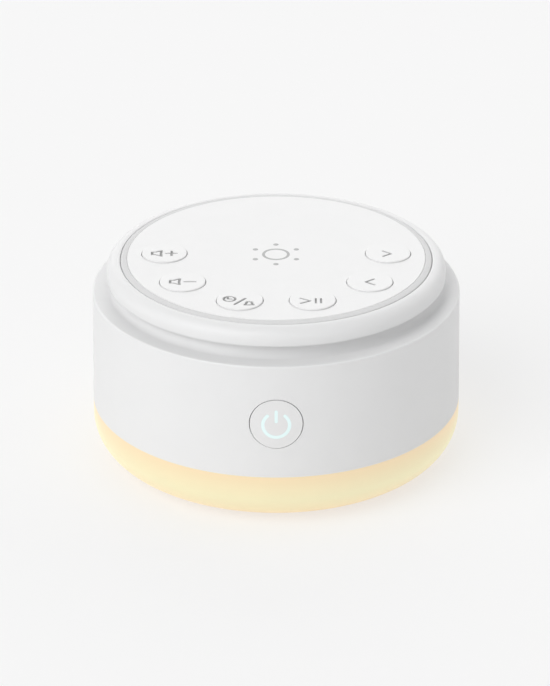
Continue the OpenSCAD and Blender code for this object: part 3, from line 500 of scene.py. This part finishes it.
class Finish:
    """A procedural material on Object coordinates, built up in layers. Pitches and heights are in
    millimetres."""

    def __init__(self, name, colour, rough, metal=0.0):
        self.material = bpy.data.materials.new(name)
        self.material.use_nodes = True
        self.tree = self.material.node_tree
        self.shader = self.tree.nodes["Principled BSDF"]
        self.place = self.node("ShaderNodeTexCoord").outputs["Object"]
        self.base = (*colour, 1.0)
        self.bump = {}
        self.set("Base Color", self.base)
        self.set("Roughness", rough)
        self.set("Metallic", metal)

    def node(self, kind, inputs=None, **settings):
        """A new node of this material."""
        return new_node(self.tree, kind, inputs, **settings)

    def set(self, socket, value):
        """Gives a socket of the shader a uniform value or the socket that feeds it."""
        feed(self.tree, self.shader, {socket: value})

    def spot(self, stretch):
        """The place that a pattern reads, stretched along the axes."""
        if stretch == EVEN:
            return self.place
        inputs = {"Vector": self.place, "Scale": [1 / value for value in stretch]}
        return self.node("ShaderNodeMapping", inputs).outputs["Vector"]

    def noise(self, pitch, detail=2.0, stretch=EVEN):
        """Cloudy noise with features about a pitch wide."""
        inputs = {"Vector": self.spot(stretch), "Scale": 1 / (pitch * MM), "Detail": detail}
        return self.node("ShaderNodeTexNoise", inputs).outputs["Fac"]

    def cells(self, pitch):
        """Distance to the middle of the nearest cell, with cells about a pitch wide."""
        inputs = {"Vector": self.place, "Scale": 1 / (pitch * MM)}
        return self.node("ShaderNodeTexVoronoi", inputs).outputs["Distance"]

    def bands(self, pitch, axis):
        """Regular bands across an axis, a pitch apart."""
        return self.wave(pitch, 0.0, wave_type="BANDS", bands_direction=axis)

    def rings(self, pitch, wobble=0.0):
        """Regular rings round the z axis, a pitch apart."""
        return self.wave(pitch, wobble, wave_type="RINGS", rings_direction="Z")

    def wave(self, pitch, wobble, **settings):
        """Waves a pitch apart: at scale 1 the node's own are 2 pi / 20 of a unit apart."""
        inputs = {"Vector": self.place, "Scale": 2 * math.pi / 20 / (pitch * MM), "Distortion": wobble}
        return self.node("ShaderNodeTexWave", inputs, **settings).outputs["Fac"]

    def tracks(self, length, pitch, width):
        """Straight lines in rows and staggered cross links, such as a board's tracks."""
        inputs = {"Vector": self.place, "Scale": 1 / MM, "Brick Width": length, "Row Height": pitch,
                  "Mortar Size": width}
        return self.node("ShaderNodeTexBrick", inputs).outputs["Fac"]

    def painted(self, name):
        """A value that the mesh carries at its points."""
        return self.node("ShaderNodeAttribute", attribute_name=name).outputs["Fac"]

    def height(self):
        """The z of the place, in metres."""
        return self.node("ShaderNodeSeparateXYZ", {"Vector": self.place}).outputs["Z"]

    def between(self, pattern, low, high, to_low=0.0, to_high=1.0):
        """The pattern with low..high taken to to_low..to_high and held there."""
        inputs = {"Value": pattern, "From Min": low, "From Max": high, "To Min": to_low, "To Max": to_high}
        return self.node("ShaderNodeMapRange", inputs, clamp=True).outputs["Result"]

    def product(self, one, other):
        """Two patterns multiplied."""
        return self.node("ShaderNodeMath", {0: one, 1: other}, operation="MULTIPLY").outputs["Value"]

    def tint(self, mask, colour):
        """Blends the colour so far into another where the mask is 1."""
        inputs = {"Factor": mask, MIX_BELOW: self.base, MIX_ABOVE: (*colour, 1.0)}
        self.base = self.node("ShaderNodeMix", inputs, data_type="RGBA").outputs[MIX_RESULT]
        self.set("Base Color", self.base)
        return self

    def clouds(self, colour, pitch, fade=(0.4, 0.7), share=1.0, detail=2.0, stretch=EVEN):
        """Another colour where cloudy noise passes from one end of the fade to the other, up to a share."""
        return self.tint(self.between(self.noise(pitch, detail, stretch), *fade, 0.0, share), colour)

    def polish(self, pattern, low, high):
        """Roughness that follows the pattern from low to high."""
        self.set("Roughness", self.between(pattern, 0.25, 0.75, low, high))
        return self

    def sheen(self, pitch, low, high, detail=2.0, stretch=EVEN):
        """Roughness that follows cloudy noise from low to high."""
        return self.polish(self.noise(pitch, detail, stretch), low, high)

    def relief(self, pattern, height):
        """Bump that follows the pattern, on top of the bump so far."""
        inputs = {"Strength": 1.0, "Distance": height * MM, "Height": pattern, **self.bump}
        self.bump = {"Normal": self.node("ShaderNodeBump", inputs).outputs["Normal"]}
        feed(self.tree, self.shader, self.bump)
        return self

    def bumps(self, pitch, height, detail=2.0, stretch=EVEN):
        """Bump that follows cloudy noise, on top of the bump so far."""
        return self.relief(self.noise(pitch, detail, stretch), height)

    def glow(self, colour, strength):
        """Light of one colour from the whole surface."""
        self.set("Emission Color", (*colour, 1.0))
        self.set("Emission Strength", strength)
        return self


def shade(colour, amount):
    """The colour times an amount, held at 1."""
    return tuple(min(1.0, channel * amount) for channel in colour)


def slot_colour(slot):
    """The record's colour of a material slot."""
    return tuple(SLOTS[slot]["base_color"])


def dress(finish, *names):
    """Puts a finish on every material slot of the named CAD nodes."""
    for name in names:
        for place in NODES[name].material_slots:
            place.material = finish.material


def dress_slot(slot, finish):
    """Puts a finish on the CAD nodes that the record puts in a material slot."""
    dress(finish, *[name for name, of in SLOT_OF.items() if of == slot])


def finish_piece(piece, material, body="machine"):
    """Gives a new piece its material and the body that it rides on."""
    piece.data.materials.append(material)
    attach(piece, body)


# ---- materials of the case, the keys and the signs ----

def moulded_white(name, colour, grain, rough):
    """Satin white plastic: a fine spark-eroded grain, faint flow clouds and a slightly uneven sheen."""
    made = Finish(name, colour, rough)
    made.clouds(shade(colour, 0.985), 9.0, fade=(0.35, 0.65), share=0.5, detail=3.0)
    made.sheen(2.5, rough - 0.05, rough + 0.06, detail=4.0)
    return made.bumps(0.35, grain / MM, detail=3.0).relief(made.cells(0.22), grain / MM * 0.5)


def key_plastic(case, signs):
    """Smoother white plastic, with painted grey shade at the bottom of the engraved strokes."""
    made = moulded_white("key_plastic", case.key_colour, case.grain * 0.6, 0.42)
    # Painted shade: grey where the engraving is deep.
    return made.tint(made.painted("sign"), signs.groove_shade_colour)


def shaded_seal_rubber(case):
    """Soft rubber, a little dusty. Its light grey, darker than the case, is painted shade of the groove
    beside the disc.
    """
    made = Finish("shaded_seal_rubber", case.seal_shade_colour, 0.62)
    made.clouds(shade(case.seal_shade_colour, 0.97), 1.2, fade=(0.35, 0.65), share=0.5, detail=3.0)
    return made.sheen(0.8, 0.56, 0.7).bumps(0.25, 0.006)


def mark_ink(signs):
    """Printed grey ink."""
    made = Finish("mark_ink", signs.print_colour, 0.5)
    made.clouds(shade(signs.print_colour, 1.06), 0.25, fade=(0.45, 0.7), detail=3.0)
    return made.sheen(0.5, 0.45, 0.6).bumps(0.12, 0.003)


def lit_sign(signs):
    """Clear sign with light behind it."""
    made = Finish("lit_sign", (0.8, 0.87, 0.87), 0.4)
    made.clouds((0.78, 0.87, 0.87), 0.6).sheen(0.4, 0.35, 0.5)
    return made.glow(signs.power_colour, signs.power_glow)


def light_core(colour):
    """Clear plastic that carries light to the sign."""
    made = Finish("light_core", colour, 0.12)
    made.set("Transmission Weight", 0.6)
    made.set("IOR", 1.49)
    return made.clouds((0.86, 0.96, 0.97), 1.5).bumps(0.8, 0.01)


def foot_rubber(colour):
    """Matte rubber with a pebbled face."""
    made = Finish("foot_rubber", colour, 0.72)
    made.clouds(shade(colour, 0.85), 0.8, share=0.6, detail=3.0)
    return made.relief(made.cells(0.3), 0.03)


# ---- materials of the night light ----

GLOW_MIDDLE = (0.42, 0.62)
GLOW_TOP_GAP = 1.5 * MM


def diffuser_plastic(glow):
    """Milky plastic that gives light of its own: one colour at its lower and upper edges that runs over into
    another between them."""
    low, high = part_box("glow_base")
    made = Finish("diffuser_plastic", glow.diffuser_colour, 0.38)
    made.clouds(shade(glow.diffuser_colour, 1.02), 6.0, fade=(0.35, 0.65), share=0.6, detail=3.0)
    made.sheen(1.5, 0.33, 0.45, detail=3.0).bumps(0.4, 0.004)
    span = made.between(made.height(), low.z, high.z - GLOW_TOP_GAP)
    light = made.node("ShaderNodeValToRGB", {"Fac": span})
    ramp = light.color_ramp
    ramp.interpolation = "B_SPLINE"
    for end in ramp.elements:
        end.color = (*glow.edge_colour, 1.0)
    for place in GLOW_MIDDLE:
        ramp.elements.new(place).color = (*glow.glow_colour, 1.0)
    made.set("Emission Color", light.outputs["Color"])
    made.set("Emission Strength", glow.glow)
    return made


def lamp_phosphor(colour):
    """Lit phosphor of the small lamps."""
    made = Finish("lamp_phosphor", colour, 0.3)
    made.tint(made.between(made.cells(1.2), 0.2, 0.5), (0.95, 0.8, 0.35)).bumps(0.3, 0.01)
    return made.glow((1.0, 0.82, 0.5), 0.6)


def white_mask(colour):
    """White solder mask with tracks under it."""
    made = Finish("white_mask", colour, 0.3)
    tracks = made.tracks(9.0, 3.2, 0.22)
    made.tint(made.between(tracks, 0.4, 0.6, 0.0, 0.8), (0.8, 0.78, 0.7))
    return made.sheen(3.0, 0.25, 0.4).relief(tracks, 0.03)


# ---- materials of the boards and switches ----

def switch_housing(colour):
    """Black moulded plastic of the switches."""
    made = Finish("switch_housing", colour, 0.5)
    made.clouds((0.1, 0.1, 0.105), 0.4, fade=(0.5, 0.7), share=0.6, detail=4.0)
    return made.sheen(1.0, 0.4, 0.6).bumps(0.15, 0.008)


def green_mask(colour):
    """Green solder mask with tracks under it and bare round pads."""
    made = Finish("green_mask", colour, 0.28)
    tracks = made.tracks(14.0, 1.4, 0.16)
    made.tint(made.between(tracks, 0.4, 0.6, 0.0, 0.7), (0.05, 0.32, 0.18))
    made.tint(made.between(made.cells(4.2), 0.09, 0.07), (0.75, 0.6, 0.32))
    return made.sheen(2.0, 0.22, 0.38).relief(tracks, 0.03)


def gilt_wire(colour):
    """Drawn wire with a bright gilt plating."""
    made = Finish("gilt_wire", colour, 0.28, metal=1.0)
    return made.sheen(0.6, 0.2, 0.4, detail=4.0).bumps(0.2, 0.004, stretch=(1, 1, 4))


def screw_zinc(colour):
    """Zinc plate with faint grey clouds and turning marks."""
    made = Finish("screw_zinc", colour, 0.32, metal=1.0)
    made.clouds((0.5, 0.5, 0.52), 0.8, fade=(0.45, 0.7), share=0.6, detail=4.0)
    return made.sheen(0.4, 0.22, 0.45, detail=4.0).bumps(0.1, 0.004, detail=3.0, stretch=(6, 1, 1))


# ---- materials of the loudspeaker ----

def cone_fibre(colour):
    """Pressed paper with long fibres and faint rings."""
    made = Finish("cone_fibre", colour, 0.75)
    made.clouds((0.16, 0.155, 0.15), 0.5, fade=(0.5, 0.75), share=0.7, detail=5.0, stretch=(5, 1, 1))
    return made.bumps(0.3, 0.03, detail=4.0, stretch=(4, 1, 1)).relief(made.rings(3.0), 0.05)


def roll_butyl(colour):
    """Butyl rubber of the surround."""
    made = Finish("roll_butyl", colour, 0.55)
    made.clouds((0.075, 0.075, 0.078), 2.0, share=0.5)
    return made.sheen(1.0, 0.48, 0.66, detail=3.0).bumps(0.2, 0.006)


def resin_cloth(colour):
    """Woven cloth stiffened with resin."""
    made = Finish("resin_cloth", colour, 0.8)
    threads = made.product(made.bands(0.7, "X"), made.bands(0.7, "Y"))
    return made.tint(made.between(threads, 0.1, 0.6), shade(colour, 1.35)).relief(threads, 0.08)


def copper_winding(colour):
    """Copper wire wound side by side, with painted shade between the turns."""
    made = Finish("copper_winding", colour, 0.3, metal=1.0)
    wires = made.bands(0.22, "Z")
    # Painted shade: darker copper in the crevices between the turns.
    return made.tint(made.between(wires, 0.0, 0.25, 1.0, 0.0), shade(colour, 0.45)).relief(wires, 0.05)


def plated_iron(colour):
    """Plated pole pieces with fine rings from the lathe."""
    made = Finish("plated_iron", colour, 0.34, metal=1.0)
    made.clouds((0.55, 0.56, 0.56), 3.0, fade=(0.45, 0.7), share=0.4, detail=4.0)
    turned = made.rings(0.3, wobble=0.5)
    return made.polish(turned, 0.28, 0.42).relief(turned, 0.004)


def sintered_ferrite(colour):
    """Dull sintered magnet."""
    made = Finish("sintered_ferrite", colour, 0.7)
    return made.clouds((0.16, 0.16, 0.165), 0.3, fade=(0.5, 0.7), detail=5.0).bumps(0.25, 0.04, detail=5.0)


def basket_black(colour):
    """Black paint on pressed steel, with a slight orange peel."""
    made = Finish("basket_black", colour, 0.4)
    made.clouds((0.16, 0.16, 0.165), 0.7, fade=(0.45, 0.7), share=0.5, detail=3.0)
    return made.sheen(1.2, 0.34, 0.5).bumps(0.5, 0.012)


def closed_foam(colour):
    """Dark foam with closed cells."""
    made = Finish("closed_foam", colour, 0.85)
    pores = made.cells(0.5)
    return made.tint(made.between(pores, 0.1, 0.5), (0.17, 0.17, 0.17)).relief(pores, 0.12)


# ---- materials of the inner frame ----

def inner_moulding(colour):
    """Plain moulded plastic with flow clouds."""
    made = Finish("inner_moulding", colour, 0.5)
    made.clouds(shade(colour, 0.94), 7.0, fade=(0.35, 0.7), share=0.7, detail=4.0)
    return made.sheen(2.0, 0.42, 0.6, detail=3.0).bumps(0.5, 0.01, detail=3.0)


def pouch_foil(colour):
    """Creased foil of the cell's pouch."""
    made = Finish("pouch_foil", colour, 0.35, metal=0.85)
    made.clouds((0.62, 0.63, 0.66), 5.0, share=0.6, detail=4.0)
    return made.sheen(2.0, 0.28, 0.5, detail=4.0).bumps(4.0, 0.25, detail=5.0)


def drawn_steel(colour):
    """Drawn steel of the charging socket, with marks along its depth."""
    made = Finish("drawn_steel", colour, 0.26, metal=1.0)
    made.sheen(0.3, 0.2, 0.38, detail=4.0, stretch=(1, 8, 1))
    return made.bumps(0.15, 0.003, detail=3.0, stretch=(1, 10, 1))


LIGHT_SLOTS = {"led_white": lamp_phosphor, "white_board": white_mask}
SWITCH_SLOTS = {"dark_plastic": switch_housing, "circuit_board": green_mask, "contact_brass": gilt_wire,
                "screw_steel": screw_zinc}
SPEAKER_SLOTS = {"cone_paper": cone_fibre, "roll_rubber": roll_butyl, "spider_cloth": resin_cloth,
                 "coil_copper": copper_winding, "pole_steel": plated_iron, "ferrite": sintered_ferrite,
                 "basket_paint": basket_black, "foam": closed_foam}
FRAME_SLOTS = {"inner_plastic": inner_moulding, "cell_pouch": pouch_foil, "socket_steel": drawn_steel}


def dress_slots(makers):
    """Dresses each slot with the finish that its function makes from the slot's colour."""
    for slot, maker in makers.items():
        dress_slot(slot, maker(slot_colour(slot)))


# ---- operators ----

class MachineOperator(bpy.types.Operator):
    """Makes one part of the sound machine."""
    bl_options = {"REGISTER", "UNDO"}


class SOUND_OT_case(MachineOperator):
    """Finish the wall, the sound ring and the control disc"""
    bl_idname = "sound_machine.case"
    bl_label = "Case"

    def execute(self, context):
        case = context.scene.sound_case
        dress(moulded_white("case_plastic", case.case_colour, case.grain, 0.48), "outer_shell", "sound_ring")
        dress(moulded_white("top_plastic", case.top_colour, case.grain * 0.8, 0.45), "control_disc")
        return {"FINISHED"}


class SOUND_OT_collar(MachineOperator):
    """Make the collar with its round bead, the soft seal beside the disc and the screw bosses"""
    bl_idname = "sound_machine.collar"
    bl_label = "Collar"

    def execute(self, context):
        case = context.scene.sound_case
        white = moulded_white("collar_plastic", case.case_colour, case.grain * 0.8, 0.45).material
        collar = turned_piece("collar_bead", collar_loop(case.bead / MM))
        finish_piece(collar, white)
        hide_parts("top_collar")
        # The seal's darker grey is painted shade of the groove beside the disc.
        seal = turned_piece("disc_seal", seal_loop(case.bead / MM))
        finish_piece(seal, shaded_seal_rubber(case).material)
        finish_piece(make_piece("collar_bosses", *collar_bosses()), white)
        return {"FINISHED"}


class SOUND_OT_neck_cove(MachineOperator):
    """Make the cove where the neck meets the shoulder, in the wall's plastic"""
    bl_idname = "sound_machine.neck_cove"
    bl_label = "Cove of the neck"

    def execute(self, context):
        loop = cove_loop(box_mm("outer_shell")[1, 2], context.scene.sound_case.cove / MM)
        cove = turned_piece("neck_cove", loop, smooth_below=50.0)
        finish_piece(cove, NODES["outer_shell"].material_slots[0].material)
        return {"FINISHED"}


class SOUND_OT_keys(MachineOperator):
    """Make the six push keys with their engraved signs"""
    bl_idname = "sound_machine.keys"
    bl_label = "Keys"

    def execute(self, context):
        case, signs = context.scene.sound_case, context.scene.sound_signs
        plastic = key_plastic(case, signs).material
        for key, strokes in SIGNS.items():
            place = box_mm(key + "_plunger").mean(axis=0)
            place[2] = box_mm(key + "_key")[1, 2]
            piece = key_mesh(key + "_cap", strokes, place, signs)
            finish_piece(piece, plastic, key)
            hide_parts(key + "_key")
        return {"FINISHED"}


class SOUND_OT_touch_mark(MachineOperator):
    """Print the touch mark in the middle of the control disc"""
    bl_idname = "sound_machine.touch_mark"
    bl_label = "Touch mark"

    def execute(self, context):
        signs = context.scene.sound_signs
        middle = np.array([*MARK_MIDDLE, DISC_HIGH[2]])
        dots = [dot_print(middle + place) for place in around(signs.ray_reach / MM, DOT_FIRST, DOT_COUNT)]
        prints = join_parts([ring_print(middle, signs.ring_d / MM / 2)] + dots)
        piece = make_piece("touch_mark", *prints, smooth_below=80.0)
        finish_piece(piece, mark_ink(signs).material)
        return {"FINISHED"}


class SOUND_OT_power_button(MachineOperator):
    """Finish the power button and make its lit sign"""
    bl_idname = "sound_machine.power_button"
    bl_label = "Power button"

    def execute(self, context):
        case, signs = context.scene.sound_case, context.scene.sound_signs
        dress(moulded_white("cap_plastic", case.case_colour, case.grain * 0.6, 0.42), "power_button")
        middle = box_mm("power_button")[:, 2].mean() - POWER_DROP
        turn = np.radians(np.linspace(POWER_OPENING, 360.0 - POWER_OPENING, BEND_STEPS))
        bend = np.stack([POWER_R * np.sin(turn), middle + POWER_R * np.cos(turn)], axis=1)
        bar = np.stack([np.zeros(BAR_STEPS), middle + np.linspace(BAR_LOW, BAR_TOP, BAR_STEPS)], axis=1)
        prints = join_parts([ribbon_print(bend, BEND_WIDTH), ribbon_print(bar, BAR_WIDTH)])
        piece = make_piece("power_sign", *prints, smooth_below=60.0)
        finish_piece(piece, lit_sign(signs).material, "power")
        dress_slots({"clear_plastic": light_core})
        return {"FINISHED"}


class SOUND_OT_night_light(MachineOperator):
    """Finish the glowing base, its lamps and their board"""
    bl_idname = "sound_machine.night_light"
    bl_label = "Night light"

    def execute(self, context):
        dress(diffuser_plastic(context.scene.sound_glow), "glow_base")
        dress_slots(LIGHT_SLOTS)
        return {"FINISHED"}


class SOUND_OT_switchgear(MachineOperator):
    """Finish the plungers, the switches, the boards, the touch spring and the screws"""
    bl_idname = "sound_machine.switchgear"
    bl_label = "Switches and boards"

    def execute(self, context):
        dress_slots(SWITCH_SLOTS)
        return {"FINISHED"}


class SOUND_OT_speaker(MachineOperator):
    """Finish the loudspeaker"""
    bl_idname = "sound_machine.speaker"
    bl_label = "Loudspeaker"

    def execute(self, context):
        dress_slots(SPEAKER_SLOTS)
        return {"FINISHED"}


class SOUND_OT_inner_frame(MachineOperator):
    """Finish the chassis, the baffle, the cell and the charging socket"""
    bl_idname = "sound_machine.inner_frame"
    bl_label = "Inner frame and cell"

    def execute(self, context):
        dress_slots(FRAME_SLOTS)
        return {"FINISHED"}


class SOUND_OT_underside(MachineOperator):
    """Finish the base plate and its feet"""
    bl_idname = "sound_machine.underside"
    bl_label = "Underside"

    def execute(self, context):
        grain = context.scene.sound_case.grain * 1.5
        dress_slot("plate_white", moulded_white("plate_plastic", slot_colour("plate_white"), grain, 0.52))
        dress_slots({"foot_rubber": foot_rubber})
        return {"FINISHED"}


# ---- stage, metres and degrees ----

FLOOR_Z, FLOOR_R, FLOOR_ROWS, FLOOR_COLUMNS = -0.02 * MM, 0.05, 7, 96
CAMERA_AIM, CAMERA_DISTANCE, CAMERA_RISE = (0.0, 0.0, 0.043262), 0.8, 25.3
CAMERA_LENS, CAMERA_SHIFT, CAMERA_NEAR = 153.49, (-0.00175, -0.06239), 0.01
LAMPS = (("front_lamp", -45.0, 38.0, 50.0), ("rear_lamp", 180.0, 24.0, 60.0),
         ("side_lamp", 122.0, 28.0, 50.0))


def from_direction(azimuth, elevation):
    """Unit vector towards a place round the machine. The azimuth counts from the front, to the right."""
    a, e = math.radians(azimuth), math.radians(elevation)
    return Vector((math.sin(a) * math.cos(e), -math.cos(a) * math.cos(e), math.sin(e)))


def floor_paper(stage):
    """Smooth white paper. It is drawn part of the way to the plain backdrop where the camera looks at it, so
    that it keeps the machine's shadow but stays pale."""
    made = Finish("floor_paper", stage.floor_colour, 0.9)
    made.set("Specular IOR Level", 0.1)
    made.clouds(shade(stage.floor_colour, 0.996), 60.0, fade=(0.3, 0.7), share=0.4)
    seen = made.node("ShaderNodeLightPath").outputs["Is Camera Ray"]
    share = made.product(seen, stage.plainness)
    plain = made.node("ShaderNodeEmission", {"Strength": stage.backdrop}).outputs["Emission"]
    mix = made.node("ShaderNodeMixShader", {0: share, 1: made.shader.outputs["BSDF"], 2: plain})
    feed(made.tree, made.tree.nodes["Material Output"], {"Surface": mix.outputs["Shader"]})
    return made


def make_floor(stage):
    """A flat disc round the machine: rings that double their radius, closed by a pole in the middle."""
    radii = FLOOR_R * 2.0 ** np.arange(FLOOR_ROWS)
    rings = ring_of([(radius, FLOOR_Z) for radius in radii], FLOOR_COLUMNS).reshape(-1, 3)
    quads = grid_quads(FLOOR_ROWS, FLOOR_COLUMNS, wrap_columns=True)[:, ::-1]
    middle = fan(np.arange(FLOOR_COLUMNS), len(rings))
    floor = make_piece("floor", np.concatenate([rings, [(0.0, 0.0, FLOOR_Z)]]), quads, middle)
    floor.data.materials.append(floor_paper(stage).material)


def make_lamps(scene, stage):
    """Broad far lamps, each given by its name, azimuth, elevation and spread."""
    for name, azimuth, elevation, spread in LAMPS:
        lamp = bpy.data.lights.new(name, "SUN")
        lamp.energy = math.pi * getattr(stage, name)
        lamp.angle = math.radians(spread)
        holder = bpy.data.objects.new(name, lamp)
        holder.rotation_euler = from_direction(azimuth, elevation).to_track_quat("Z", "Y").to_euler()
        scene.collection.objects.link(holder)


def make_world(scene, stage):
    """Even light from all round, with a plain pale backdrop where the camera, gloss or glass look at it."""
    world = bpy.data.worlds.new("studio")
    world.use_nodes = True
    tree = world.node_tree
    tree.nodes.clear()
    white = (1.0, 1.0, 1.0, 1.0)
    even, backdrop = [new_node(tree, "ShaderNodeBackground", {"Color": white, "Strength": level})
                      for level in (stage.sky, stage.backdrop)]
    path = new_node(tree, "ShaderNodeLightPath")
    seen = path.outputs["Is Camera Ray"]
    for ray in ("Is Glossy Ray", "Is Transmission Ray"):
        either = new_node(tree, "ShaderNodeMath", {0: seen, 1: path.outputs[ray]}, operation="MAXIMUM")
        seen = either.outputs["Value"]
    levels = {0: seen, 1: even.outputs["Background"], 2: backdrop.outputs["Background"]}
    mix = new_node(tree, "ShaderNodeMixShader", levels)
    new_node(tree, "ShaderNodeOutputWorld", {"Surface": mix.outputs["Shader"]})
    scene.world = world


def make_camera(scene):
    """The camera, straight in front of the machine and above it."""
    camera = bpy.data.objects.new("camera", bpy.data.cameras.new("camera"))
    camera.data.lens = CAMERA_LENS
    camera.data.shift_x, camera.data.shift_y = CAMERA_SHIFT
    camera.data.clip_start = CAMERA_NEAR
    camera.location = Vector(CAMERA_AIM) + CAMERA_DISTANCE * from_direction(0.0, CAMERA_RISE)
    camera.rotation_euler = (math.radians(90.0 - CAMERA_RISE), 0.0, 0.0)
    scene.collection.objects.link(camera)
    scene.camera = camera


class SOUND_OT_stage(MachineOperator):
    """Make the floor, the lamps, the world and the camera"""
    bl_idname = "sound_machine.stage"
    bl_label = "Stage"

    def execute(self, context):
        scene, stage = context.scene, context.scene.sound_stage
        make_floor(stage)
        make_lamps(scene, stage)
        make_world(scene, stage)
        make_camera(scene)
        scene.view_settings.view_transform = "Standard"
        return {"FINISHED"}


# ---- add-on ----

class SOUND_PT_panel(bpy.types.Panel):
    """The machine's sizes and colours, and its parts in the order in which they are made"""
    bl_idname = "SOUND_PT_panel"
    bl_label = "Sound machine"
    bl_space_type = "VIEW_3D"
    bl_region_type = "UI"
    bl_category = "Sound machine"

    def draw(self, context):
        for name, kind in SETTINGS.items():
            box = self.layout.box()
            box.label(text=kind.__doc__)
            for setting in kind.__annotations__:
                box.prop(getattr(context.scene, name), setting)
        for operator in OPERATORS:
            self.layout.operator(operator.bl_idname)


SETTINGS = {"sound_case": CaseSettings, "sound_signs": SignSettings, "sound_glow": GlowSettings,
            "sound_stage": StageSettings}
OPERATORS = (SOUND_OT_case, SOUND_OT_collar, SOUND_OT_neck_cove, SOUND_OT_keys, SOUND_OT_touch_mark,
             SOUND_OT_power_button, SOUND_OT_night_light, SOUND_OT_switchgear, SOUND_OT_speaker,
             SOUND_OT_inner_frame, SOUND_OT_underside, SOUND_OT_stage)
CLASSES = (*SETTINGS.values(), *OPERATORS, SOUND_PT_panel)


def register():
    for kind in CLASSES:
        bpy.utils.register_class(kind)
    for name, kind in SETTINGS.items():
        setattr(bpy.types.Scene, name, PointerProperty(type=kind))


def unregister():
    for name in SETTINGS:
        delattr(bpy.types.Scene, name)
    for kind in reversed(CLASSES):
        bpy.utils.unregister_class(kind)


def main():
    """Makes everything in order."""
    register()
    bpy.ops.sound_machine.case()
    bpy.ops.sound_machine.collar()
    bpy.ops.sound_machine.neck_cove()
    bpy.ops.sound_machine.keys()
    bpy.ops.sound_machine.touch_mark()
    bpy.ops.sound_machine.power_button()
    bpy.ops.sound_machine.night_light()
    bpy.ops.sound_machine.switchgear()
    bpy.ops.sound_machine.speaker()
    bpy.ops.sound_machine.inner_frame()
    bpy.ops.sound_machine.underside()
    bpy.ops.sound_machine.stage()


if __name__ == "__main__":
    main()
